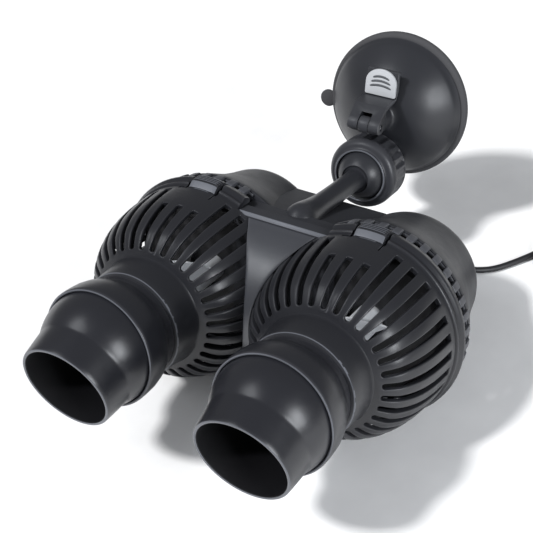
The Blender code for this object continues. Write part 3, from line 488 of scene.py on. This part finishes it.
def cord():
    tip = (PUMP @ CORD_EXIT) * 1000.0
    out = (PUMP.to_3x3() @ Vector((0.0, 1.0, 0.0))).normalized()
    start = tip + out * 0.35
    lead = [start, start + out * 5.4, (45.4, 71.4, 7.6), (49.8, 77.0, 4.7), (56.4, 81.3, 2.4),
            (63.4, 86.6, 1.7), (70.2, 94.6, 1.7), (77.0, 104.2, 1.9), (82.6, 112.4, 2.4)]
    tail = [(128.0, 121.6, 12.2), (134.2, 117.8, 11.2), (139.4, 113.1, 9.5), (142.8, 107.9, 7.9),
            PLUG_AT]
    dense = flow(lead + coil_route() + tail, 3)
    curve = bpy.data.curves.new("mains_cord", "CURVE")
    curve.dimensions = "3D"
    curve.bevel_depth = CORD_R * MM
    curve.bevel_resolution = 5
    curve.use_fill_caps = True
    curve.materials.append(finish("cord_rubber"))
    spline = curve.splines.new("POLY")
    spline.points.add(len(dense) - 1)
    for point, spot in zip(spline.points, dense):
        point.co = (*(spot * MM), 1.0)
    obj = bpy.data.objects.new("mains_cord", curve)
    bpy.context.scene.collection.objects.link(obj)
    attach(obj, "pump_body")
    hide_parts("power_cord", "cord_coil", "cord_tail")
    plug = bevelled_copy("plug_body", 0.0009, "plug_moulding", "cord_rubber", "pump_body")
    tie = bevelled_copy("cord_tie", 0.00025, "tie_band", "grip_plastic", "pump_body")


def gland():
    """Ribbed strain relief that tapers towards the cord."""
    outline = [(60.0, 0.0), (60.0, 3.0), (62.8, 3.0), (62.8, 5.0), (64.4, 5.0)]
    for k in range(7):
        y = 65.2 + k * 2.7
        r = 3.7 - k * 0.22
        outline += [(y, r), (y + 1.6, r - 0.14), (y + 1.7, r - 0.7), (y + 2.6, r - 0.76)]
    outline += [(85.0, 2.1), (85.0, 0.0)]
    add_piece("cord_boot", turned(outline, (CORD_EXIT.x, CORD_EXIT.z), 40, radius=0.2),
              "seal_rubber", "pump_body", ("cord_gland",))


# ---------------------------------------------------------------- strainer cages
SLOTS = 34
SECTOR = 2 * math.pi / SLOTS
THICK = 2.2
SLOT_HALF, SLOT_FLARE = 1.35, 0.42      # half width at the collar, and what it gains on the way
SIDE_STEPS, CAP_STEPS = 12, 8
SQUARE = 0.45                           # below 1 squares the slot's rim end
DOME = flow([(-42.05, 26.7), (-41.5, 28.6), (-39.2, 32.3), (-35.4, 36.1), (-27.5, 40.0),
             (-18.5, 42.3), (-8.0, 43.45), (-1.5, 43.6)], 10)
DOME_S = [0.0]
for dome_a, dome_b in zip(DOME, DOME[1:]):
    DOME_S.append(DOME_S[-1] + (dome_b - dome_a).length)


def dome_at(s):
    """Point (y, r) and outward normal of the dome at distance s along its profile."""
    s = max(0.0, min(DOME_S[-1] - 1e-6, s))
    k = 0
    while k < len(DOME) - 2 and DOME_S[k + 1] <= s:
        k += 1
    t = (s - DOME_S[k]) / (DOME_S[k + 1] - DOME_S[k])
    point = DOME[k].lerp(DOME[k + 1], t)
    first = DOME[max(k - 1, 0)]
    last = DOME[min(k + 2, len(DOME) - 1)]
    along = (last - first).normalized()
    return point, Vector((-along.y, along.x))


def s_at(y):
    """Distance along the dome's profile at y."""
    for k, point in enumerate(DOME):
        if point.x >= y:
            return DOME_S[k]
    return DOME_S[-1]


def dome_radius(y, otherwise):
    found = otherwise
    for a, b in zip(DOME, DOME[1:]):
        if a.x <= y <= b.x:
            found = a.y + (b.y - a.y) * (y - a.x) / (b.x - a.x)
    return found


def slot_hole(s0, s1, w0, w1):
    """A slot's edge as (u, s): round at the collar end, nearly square at the rim end."""
    hole = []
    for k in range(CAP_STEPS):
        phi = math.radians(-90 + 180 * k / CAP_STEPS)
        hole.append((w0 * math.sin(phi), s0 - w0 * math.cos(phi)))
    for k in range(SIDE_STEPS):
        t = k / SIDE_STEPS
        hole.append((w0 + (w1 - w0) * t, s0 + (s1 - s0) * t))
    for k in range(CAP_STEPS):
        phi = math.radians(90 - 180 * k / CAP_STEPS)
        u = math.copysign(abs(math.sin(phi)) ** SQUARE, math.sin(phi))
        hole.append((w1 * u, s1 + 1.0 * abs(math.cos(phi)) ** SQUARE))
    for k in range(SIDE_STEPS):
        t = 1 - k / SIDE_STEPS
        hole.append((-(w0 + (w1 - w0) * t), s0 + (s1 - s0) * t))
    return hole


def patch_edge(s0, s1, start, end):
    """A sector's own edge as (share of half a sector, s), matched to slot_hole point by point."""
    edge = []

    def cap(phi, near, far):
        if abs(phi) <= math.radians(45.01):
            edge.append((math.tan(phi), far))
        else:
            edge.append((math.copysign(1.0, phi), near + (far - near) / abs(math.tan(phi))))

    for k in range(CAP_STEPS):
        cap(math.radians(-90 + 180 * k / CAP_STEPS), s0, start)
    for k in range(SIDE_STEPS):
        edge.append((1.0, s0 + (s1 - s0) * k / SIDE_STEPS))
    for k in range(CAP_STEPS):
        cap(math.radians(90 - 180 * k / CAP_STEPS), s1, end)
    for k in range(SIDE_STEPS):
        edge.append((-1.0, s1 - (s1 - s0) * k / SIDE_STEPS))
    return edge


def slot_sector(bm, cx, middle, hole, edge, rows):
    """One sector of the dome round one slot, with extra rows of faces beside a short slot."""
    count = len(hole)
    outward = []
    for k in range(count):
        a, b = Vector(hole[k - 1]), Vector(hole[(k + 1) % count])
        along = (b - a).normalized()
        outward.append(Vector((along.y, -along.x)))

    def spot(u, s, depth, share=None):
        point, normal = dome_at(s)
        angle = middle + (share * SECTOR / 2 if share is not None else u / point.y)
        y = point.x - normal.x * depth
        r = point.y - normal.y * depth
        return bm.verts.new((cx + r * math.cos(angle), y, r * math.sin(angle)))

    def border(depth):
        return [spot(0.0, s, depth, share) for share, s in edge]

    def rim(spread, depth):
        return [spot(u + n.x * spread, s + n.y * spread, depth)
                for (u, s), n in zip(hole, outward)]

    def spaced(spread, depth, row):
        part = row / (rows + 1)
        loop = []
        for (share, se), (u, s), n in zip(edge, hole, outward):
            sh = s + n.y * spread
            near = dome_at(sh)[0].y
            across = share * SECTOR / 2 * (1 - part) + (u + n.x * spread) / near * part
            here = se + (sh - se) * part
            loop.append(spot(across * dome_at(here)[0].y, here, depth))
        return loop

    loops = [border(0.0)] + [spaced(0.55, 0.0, row) for row in range(1, rows + 1)]
    loops += [rim(spread, depth) for spread, depth in (
        (0.55, 0.0), (0.26, 0.05), (0.08, 0.20), (0.0, 0.48), (0.0, THICK - 0.3), (0.12, THICK))]
    loops += [spaced(0.12, THICK, row) for row in range(rows, 0, -1)] + [border(THICK)]
    for low, high in zip(loops, loops[1:]):
        join_loops(bm, low, high)


def cage_mesh(cx):
    bm = bmesh.new()
    start, end = s_at(-42.0), DOME_S[-1]
    s0, s1 = s_at(-40.8), s_at(-6.3)
    short = s_at(-20.5)
    edge = patch_edge(s0, s1, start, end)
    for i in range(SLOTS):
        beside_clip = i in (0, 1, SLOTS - 1)
        stop = short if beside_clip else s1
        wide = SLOT_HALF + SLOT_FLARE * (stop - s0) / (s1 - s0)
        slot_sector(bm, cx, math.pi / 2 + i * SECTOR, slot_hole(s0, stop, SLOT_HALF, wide), edge,
                    7 if beside_clip else 0)
    corner = math.tan(math.radians(22.5))
    angles = [math.pi / 2 + i * SECTOR + share * SECTOR / 2
              for i in range(SLOTS) for share in (-1.0, -corner, 0.0, corner)]

    def end_point(s, depth):
        point, normal = dome_at(s)
        return (point.x - normal.x * depth, point.y - normal.y * depth)

    collar = [(-39.9, 24.2), (-40.3, 22.0), (-56.2, 22.0), (-56.5, 22.3), (-56.5, 23.9),
              (-56.3, 24.25), (-55.9, 24.4), (-50.0, 24.9), (-44.0, 25.4), (-42.9, 25.6),
              (-42.4, 25.9)]
    revolve(bm, [end_point(start, THICK)] + collar + [end_point(start, 0.0)], (cx, 0.0), angles,
            closed=False)
    ridge = [(-1.4, 43.65), (-1.2, 44.2), (-0.9, 44.6), (-0.4, 44.8), (0.4, 44.7), (0.9, 44.55),
             (1.4, 44.7), (2.4, 45.7), (2.9, 45.95), (3.6, RIM_R), (4.6, 45.75),
             (7.2, 44.75), (7.8, 44.45), (8.0, 44.0), (8.0, 43.0), (7.8, 42.8), (2.0, 42.6),
             (-0.6, 41.7)]
    revolve(bm, [end_point(end, 0.0)] + ridge + [end_point(end, THICK)], (cx, 0.0), angles,
            closed=False)
    bmesh.ops.remove_doubles(bm, verts=bm.verts, dist=0.004)
    return bm


CLIP_HALF = 6.6
CLIP_COLUMNS = 15
CLIP_GROOVES = (1.1, 2.5, 3.9)
CLIP_LANDS = (0.5, 1.8, 3.2, 4.6)


def clip(bm, cx):
    """Snap tab on the rim: a stepped block with fine grip lines."""
    outline = [(-3.3, 42.9), (-3.1, 43.9), (-0.7, 46.1), (0.1, 46.65), (0.7, 46.7)]
    for y in CLIP_GROOVES:
        outline += [(y - 0.38, 46.7), (y - 0.28, 46.1), (y + 0.28, 46.1), (y + 0.38, 46.7)]
    outline += [(5.0, 46.6), (6.0, 46.1), (7.7, 44.9), (7.9, 42.0), (-3.3, 42.0)]
    outline = rounded(outline, 0.14, 2)
    loops = []
    for k in range(CLIP_COLUMNS):
        x = -CLIP_HALF + 2 * CLIP_HALF * k / (CLIP_COLUMNS - 1)
        drop = RIM_R - math.sqrt(RIM_R ** 2 - x ** 2)
        inset = 0.35 if k in (0, CLIP_COLUMNS - 1) else 0.0
        loops.append([bm.verts.new((cx + x, y, z - drop * 0.9 - (inset if z > 43.0 else 0.0)))
                      for y, z in outline])
    skin_loops(bm, loops)


def cages():
    for side, sign in SIDES:
        cx = sign * HEAD_X

        def zone(p):
            radius = math.hypot(p.x - cx, p.z)
            on_clip = abs(p.x - cx) < 6.5 and p.z > 43.4
            face = on_clip and -3.3 < p.y < -0.6
            lands = on_clip and p.z > 46.2 and min(abs(p.y - y) for y in CLIP_LANDS) < 0.28
            collar_edge = -56.52 < p.y < -56.1 and radius > 23.85
            # the clip's lit front face, its land tops and the collar's edge get painted highlight
            return PAINTED_HIGHLIGHT if face or lands or collar_edge else OWN

        # what lies past the middle and behind the cover goes, then the slits beside the clip
        tools = [
            box_mesh(sorted((sign * 0.4, -sign * 40.0)), (-70.0, 30.0), (-60.0, 60.0)),
            box_mesh(sorted((sign * 22.35, -sign * 5.0)), (-2.75, 30.0), (-61.0, 61.0)),
        ]
        for x0, x1, y0, y1, low in (
                (-8.2, -6.85, -3.6, -0.8, 41.7), (-8.2, -6.85, -1.0, 12.0, 42.5),
                (-11.6, -7.0, -4.4, -2.9, 41.2), (6.85, 8.0, -4.0, -0.8, 41.7),
                (6.85, 8.0, -1.0, 12.0, 42.5), (7.0, 7.6, -8.6, -3.0, 41.5)):
            tools.append(box_mesh((cx + x0, cx + x1), (y0, y1), (low, 50.0)))
        bm = cut(cage_mesh(cx), tools)
        clip(bm, cx)
        add_piece(side + "_cage_moulding", bm, "shaded_cage_plastic", "pump_body",
                  (side + "_strainer_cage",), sharp=38.0, zone=zone)


def swept(bm, section, cx, stations):
    """A (y, r) section carried round a head's axis through (angle, inset) stations.

    The inset lowers only the section's outer points, and both ends are closed.
    """
    loops = []
    for angle, inset in stations:
        loop = []
        for y, r in section:
            rr = r - (inset if r > 42.6 else 0.0)
            loop.append(bm.verts.new((cx + rr * math.cos(angle), y, rr * math.sin(angle))))
        loops.append(loop)
    skin_loops(bm, loops)


LUGS = 40
RING_REACH = 113.5      # degrees either side of the direction away from the other head


def intake_rings():
    """Two hoops and the row of lugs between them, open towards the other head."""
    band = rounded([(13.2, 42.0), (13.2, 43.0), (14.1, 43.0), (14.1, 42.0)], 0.2)
    front = rounded([(8.35, 43.0), (8.35, 43.8), (9.0, 43.8), (9.0, 43.0)], 0.15)
    lug = rounded([(8.35, 42.3), (8.35, 44.2), (8.8, 44.55), (11.2, 44.5), (13.4, 44.3),
                   (14.4, 44.1), (14.75, 43.7), (14.75, 43.45), (14.1, 43.2), (14.1, 42.3)],
                  0.25, 2)
    across = [(-1.0, 0.35), (-0.9, 0.08), (-0.6, 0.0), (0.0, 0.0), (0.6, 0.0), (0.9, 0.08),
              (1.0, 0.35)]
    for side, sign in SIDES:
        cx = sign * HEAD_X
        away = 0.0 if sign > 0 else math.pi
        bm = bmesh.new()
        arc = [(away + math.radians(RING_REACH * (k / 60 - 1)), 0.0) for k in range(121)]
        swept(bm, band, cx, arc)
        swept(bm, front, cx, arc)
        for i in range(LUGS):
            off = (i * 360.0 / LUGS + 180.0) % 360.0 - 180.0
            if abs(off) < RING_REACH - 2.5:
                middle = away + math.radians(off)
                swept(bm, lug, cx, [(middle + math.pi / LUGS * 0.5 * t, inset)
                                    for t, inset in across])
        add_piece(side + "_lug_ring", bm, "lit_lug_plastic", "pump_body",
                  (side + "_intake_ring",))


# ---------------------------------------------------------------- housing
def shell_line():
    back = flow([(14.9, 43.35), (16.4, 43.1), (20.0, 41.9), (28.0, 38.9), (36.0, 36.2),
                 (46.0, 33.7), (55.6, 31.8)], 6)
    line = [(8.6, 0.0), (8.6, 37.4), (14.2, 37.6), (14.3, 43.2)]
    line += [tuple(p) for p in back]
    line += [(57.6, 31.2), (59.6, 29.4), (60.9, 26.8), (61.7, 23.6), (61.9, 20.4), (61.4, 20.1),
             (61.4, 18.6), (62.1, 18.3), (62.4, 12.0), (62.5, 0.0)]
    return line


def resting(y, r, a):
    """The shell stays above the level line that touches the rims and the shell ends."""
    floor = RIM_R - (y - RIM_Y) * math.tan(PITCH)
    return min(r, floor / max(-math.sin(a), 0.5))


def housing():
    bm = bmesh.new()
    for _, sign in SIDES:
        revolve(bm, shell_line(), (sign * HEAD_X, 0.0), segments=128, closed=False,
                radius_at=resting)
    add_piece("motor_shells", bm, "shell_plastic", "pump_body", ("twin_housing",),
              sharp=32.0)
    web = [
        (-2.0, 31.0), (-2.4, 32.0), (-2.4, 37.0), (-1.4, 38.5, 0.5), (4.6, 38.6, 0.5),
        (6.4, 37.0), (13.4, 37.0, 1.5), (16.6, 34.6, 2.5), (57.0, 26.8, 2.0), (58.0, 24.0, 3.0),
        (58.0, -22.0, 3.0), (50.0, -26.0, 4.0), (14.0, -34.0, 3.0), (0.0, -34.0, 1.0),
        (0.0, 31.0),
    ]
    # the front top edge of the ledge gets painted highlight
    add_piece("bridge", prism(rounded(web, 0.5, 4), -24.0, 24.0), "deck_plastic", "pump_body",
              sharp=28.0, zone=lambda p: PAINTED_HIGHLIGHT if p.y < 0.2 and p.z > 37.6 else OWN)


def centre_cover():
    """Barrel-fronted panel whose sides follow the two domes, with rounded edges."""
    bm = bmesh.new()
    rows, columns = 44, 17
    top, widest = 36.4, 21.0
    barrel_y, barrel_r = 8.4, 38.0
    surface = []
    for j in range(rows + 1):
        z = -top + 2 * top * j / rows
        front = min(barrel_y - math.sqrt(barrel_r ** 2 - z ** 2), -3.0)
        dome = dome_radius(front, 43.6)
        half = min(widest, HEAD_X - math.sqrt(max((dome + 0.3) ** 2 - z ** 2, 0.0)))
        row = []
        for k in range(columns):
            t = math.sin((-1 + 2 * k / (columns - 1)) * math.pi / 2)
            row.append(bm.verts.new((half * t, front + 0.5 * abs(t) ** 10, z)))
        surface.append(row)
    for a, b in zip(surface, surface[1:]):
        join_loops(bm, a, b, wrap=False)
    border = surface[0] + [row[-1] for row in surface[1:]]
    border += surface[-1][-2::-1] + [row[0] for row in surface[-2:0:-1]]
    back = [bm.verts.new((v.co.x, max(v.co.y + 3.0, -2.9), v.co.z)) for v in border]
    join_loops(bm, border, back)
    bm.faces.new(back)
    add_piece("front_cover", bm, "cover_plastic", "pump_body", ("centre_cover",),
              sharp=50.0)


# ---------------------------------------------------------------- outlet joints
BALL_Y = -76.3                          # middle of the nozzle's ball
NOZZLE_DOWN = math.radians(17.0)        # the nozzles' tilt below the head's axis at rest


def outlets():
    for side, sign in SIDES:
        cx = sign * HEAD_X
        socket = [
            (-44.0, 19.4), (-44.0, 21.65), (-56.85, 21.65), (-56.85, 22.6), (-58.2, 22.75),
            (-60.2, 22.9), (-62.0, 23.6), (-64.2, 25.0), (-66.6, 26.0), (-70.5, 26.8),
            (-74.5, 27.05), (-77.6, 27.1), (-78.7, 27.0), (-79.15, 26.75), (-79.3, 26.3),
            (-79.1, 25.9)]
        socket += sphere_line(BALL_Y, 25.95, -78.9, -58.6, 12)
        socket += [(-56.0, 19.4)]
        # the socket's front lip gets painted highlight
        add_piece(side + "_socket_ring", turned(socket, (cx, 0.0), 112), "nozzle_plastic",
                  side + "_socket", (side + "_outlet_socket",), sharp=40.0,
                  zone=lambda p: PAINTED_HIGHLIGHT if -79.35 < p.y < -78.95 else OWN)
        ball = sphere_line(BALL_Y, 25.6, -62.5, -88.4, 26)
        ball += [
            (-89.0, 22.35), (-89.8, 22.25), (-94.0, 21.8), (-99.5, 21.15), (-100.9, 20.95),
            (-101.35, 20.75), (-101.6, 20.4), (-101.6, 20.0), (-101.4, 19.6), (-101.0, 19.4),
            (-95.0, 19.9), (-89.0, 20.4), (-78.0, 20.6), (-70.0, 20.2), (-62.5, 19.0)]
        bm = turned(ball, (cx, 0.0), 112)
        centre = Vector((cx, BALL_Y, 0.0))
        axis = Vector((0.0, math.cos(NOZZLE_DOWN), math.sin(NOZZLE_DOWN)))
        bmesh.ops.transform(bm, verts=bm.verts, space=Matrix.Translation(-centre),
                            matrix=Matrix.Rotation(NOZZLE_DOWN, 4, "X"))

        def zone(p):
            along = (p - centre).dot(axis)
            radius = ((p - centre) - axis * along).length
            # the mouth end gets painted highlight, and the inside of the bore gets painted shade
            if along < -25.0:
                return PAINTED_HIGHLIGHT
            return SHADED_BORE if radius < 20.7 and along < -6.0 else OWN

        add_piece(side + "_nozzle_moulding", bm, "nozzle_plastic", side + "_nozzle",
                  (side + "_ball_nozzle",), sharp=30.0, zone=zone)


def propellers():
    """Hub and three twisted blades in each head."""
    root, tip = 5.6, 21.0
    around = [(-0.5 + k / 10, -0.6) for k in range(11)]
    around += [(0.5 - k / 10, 0.6) for k in range(11)]
    for side, sign in SIDES:
        cx = sign * HEAD_X
        bm = bmesh.new()
        hub = [(-37.6, 1.85), (-37.6, 3.2), (-36.6, 4.8), (-34.6, 5.9), (-31.0, 6.4), (8.8, 6.4),
               (8.8, 1.85)]
        revolve(bm, rounded(hub, 0.5), (cx, 0.0), segments=48)
        for blade in range(3):
            rows = []
            for j in range(9):
                share = j / 8
                r = root + (tip - root) * share
                twist = math.radians(62 - 16 * share)
                chord = 12.0 + 15.0 * share
                row = []
                for along, thick in around:
                    u = chord * along
                    t = thick * (1.0 - 0.55 * abs(2 * along) ** 3)
                    across = u * math.cos(twist) - t * math.sin(twist)
                    ahead = u * math.sin(twist) + t * math.cos(twist)
                    a = across / r + math.radians(120 * blade + 30)
                    row.append(bm.verts.new((cx + r * math.sin(a), -23.0 + ahead,
                                             r * math.cos(a))))
                rows.append(row)
            skin_loops(bm, rows)
        add_piece(side + "_impeller", bm, "impeller_plastic", side + "_rotor",
                  (side + "_propeller",))


# ---------------------------------------------------------------- arm, nut and cup
def arm():
    stem = flow([(8.3, 2.9), (9.6, 4.9), (12.0, 6.9), (15.5, 7.8), (20.5, 7.3), (28.0, 6.1),
                 (36.0, 5.4), (50.0, 5.1), (66.0, 5.0), (69.4, 5.0)], 5)
    outline = [(8.0, 0.0)] + [tuple(p) for p in stem]
    outline += [(70.9, 5.05), (71.3, 5.3), (71.3, 6.3), (71.1, 6.8), (70.6, 7.0)]
    outline += sphere_line(81.5, 13.0, 70.75, 94.5, 24)
    add_piece("arm_moulding", turned(outline, ARM_AXIS, 72, closed=False), "housing_plastic",
              "pump_body", ("swivel_arm",), sharp=32.0)


def nut():
    flutes, depth = 22, 0.75
    first, last = 81.0, 91.8

    def knurl(y, r, a):
        if not (first <= y <= last and r > 17.0):
            return r
        ends = max(min(1.0, (y - first) / 0.8, (last - y) / 0.6), 0.0)
        return r - depth * (0.5 - 0.5 * math.cos(a * flutes)) ** 0.7 * ends

    outline = [
        (75.5, 12.55), (75.35, 12.75), (75.35, 13.15), (75.6, 13.4), (76.3, 13.5), (76.7, 13.9),
        (76.9, 14.6), (77.0, 15.2), (77.4, 16.1), (78.2, 16.9), (79.2, 17.4), (80.2, 17.6)]
    outline += [(y, 17.6) for y in (81.0, 81.3, 81.8, 84.0, 86.5, 89.0, 91.2)]
    outline += [(91.8, 17.4), (92.1, 17.1), (92.2, 16.7), (92.2, 15.6), (80.6, 15.6),
                (77.4, 13.9), (77.0, 12.9)]
    bm = turned(outline, ARM_AXIS, 264, radius_at=knurl)
    # the front rings of the nut get painted highlight
    add_piece("nut_moulding", bm, "nut_plastic", "clamp_nut", ("clamp_nut",),
              sharp=34.0, zone=lambda p: PAINTED_HIGHLIGHT if p.y < 75.5 else OWN)


CAP_Y, CAP_R = 92.0, 39.0       # the cap's crown, and the radius of its curve
CAP_FLARE_FROM = 26.0           # outside this the cap turns flatter, towards its rim


def cap_y(r):
    return CAP_Y + CAP_R - math.sqrt(CAP_R ** 2 - r ** 2)


def cup():
    skin = [(cap_y(r) + 2.4, r) for r in (28.0, 20.0, 12.0, 8.0, 4.2)]
    radii = [4.0 + 29.0 * k / 28 for k in range(29)]
    outer = [(cap_y(r) - 0.022 * max(r - CAP_FLARE_FROM, 0.0) ** 2, r) for r in radii]
    edge = [(111.3, 33.7), (111.7, 34.2), (112.2, 34.4), (112.6, 34.2), (112.7, 33.4),
            (112.6, 31.6)]
    boss = [(94.6, 3.9), (82.5, 3.9), (82.4, 4.1), (82.4, 6.1), (82.6, 6.4), (91.2, 7.1),
            (92.0, 7.4), (92.4, 8.0)]
    bm = turned(boss + [p for p in outer if p[1] > 8.8] + edge + skin, CUP_AXIS, 128)
    barrel = rounded([(84.8, 14.0), (84.8, 15.2), (95.0, 15.2), (100.0, 13.0), (103.0, 11.0),
                      (103.0, 9.0), (96.2, 9.0), (90.0, 13.0)], 0.5)
    revolve(bm, barrel, ARM_AXIS, segments=72)
    floor = [(96.6, 0.0), (96.6, 9.6), (98.0, 9.6), (98.0, 0.0)]
    revolve(bm, floor, ARM_AXIS, segments=48, closed=False)
    add_piece("cup_shell", bm, "cup_plastic", "cup_mount", ("cup_cover",), sharp=36.0)
    rubber = [
        (104.4, 11.4), (105.4, 18.0), (109.4, 26.0), (112.9, 31.4), (113.0, 33.0), (112.9, 34.6),
        (113.1, 35.5), (113.5, 36.2), (114.2, 36.7), (115.2, 36.8), (116.2, 36.75),
        (116.9, 36.4), (117.4, 35.6), (117.35, 33.4), (117.1, 30.8), (116.2, 25.0),
        (114.8, 14.0), (114.2, 0.0)]
    bm = turned(rubber, CUP_AXIS, 128, closed=False)
    pull_tab = [(113.4, 0.0), (113.4, 3.4), (113.7, 4.1), (114.2, 4.45), (115.0, 4.45),
                (115.6, 4.1), (115.9, 3.4), (115.9, 0.0)]
    revolve(bm, pull_tab, (-38.7, 53.4), segments=40, closed=False)
    add_piece("cup_moulding", bm, "cup_rubber", "cup_mount", ("suction_cup",),
              sharp=36.0)


def lever():
    bevelled_copy("cam_lever", 0.00045, "lever_moulding", "housing_plastic", "cam_lever",
                  segments=3)
    bevelled_copy("cup_stud", 0.00035, "stud_moulding", "housing_plastic", "cup_stud")
    half, flat_z, arch_z, arch = 8.0, 70.0, 76.5, 6.6
    outline = [(-half, flat_z, 0.9), (half, flat_z, 0.9)]
    for k in range(25):
        a = math.pi * k / 24
        outline.append((half * math.cos(a), arch_z + arch * math.sin(a)))
    pad = prism(rounded(outline, 0.1, 3), 90.0, 91.55, axis="y", edge=0.35)
    add_piece("grip_pad", pad, "grip_plastic", "cam_lever", ("lever_grip",), sharp=40.0)
    bm = bmesh.new()
    for middle, reach in ((74.2, 5.7), (76.4, 5.2), (78.6, 4.4)):
        loops = []
        for k in range(21):
            t = -1 + k / 10
            z = middle + 1.0 * (1 - t * t)
            grow = math.sqrt(max(1 - abs(t) ** 8, 0.02))
            loop = []
            for i in range(12):
                a = 2 * math.pi * i / 12
                spot = (reach * t, 90.0 + 0.30 * grow * math.sin(a), z + 0.58 * grow * math.cos(a))
                loop.append(bm.verts.new(spot))
            loops.append(loop)
        skin_loops(bm, loops)
    add_piece("grip_bars", bm, "bar_rubber", "cam_lever", sharp=40.0)


# ---------------------------------------------------------------- carried-over CAD nodes
CARRIED = {
    "rear_ball_seat": "liner_plastic", "front_ball_seat": "liner_plastic",
    "lever_pin": "pin_steel", "left_plug_pin": "plug_metal", "right_plug_pin": "plug_metal",
}
CARRIED_EACH_SIDE = {
    "shaft_spider": "housing_plastic", "rotor_magnet": "magnet_ferrite",
    "rotor_shaft": "shaft_ceramic", "front_bush": "seal_rubber", "rear_bush": "seal_rubber",
    "rotor_can": "inner_plastic", "can_seal": "seal_rubber", "stator": "stator_potting",
}


def carried_over():
    paints = dict(CARRIED)
    for side, _ in SIDES:
        for node, paint in CARRIED_EACH_SIDE.items():
            paints[side + "_" + node] = paint
    for node, paint in paints.items():
        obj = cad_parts[node]
        if not obj.material_slots:
            obj.data.materials.append(finish(paint))
        for holder in obj.material_slots:
            holder.material = finish(paint)


camera()
studio()
cord()
gland()
cages()
intake_rings()
housing()
centre_cover()
outlets()
propellers()
arm()
nut()
cup()
lever()
carried_over()
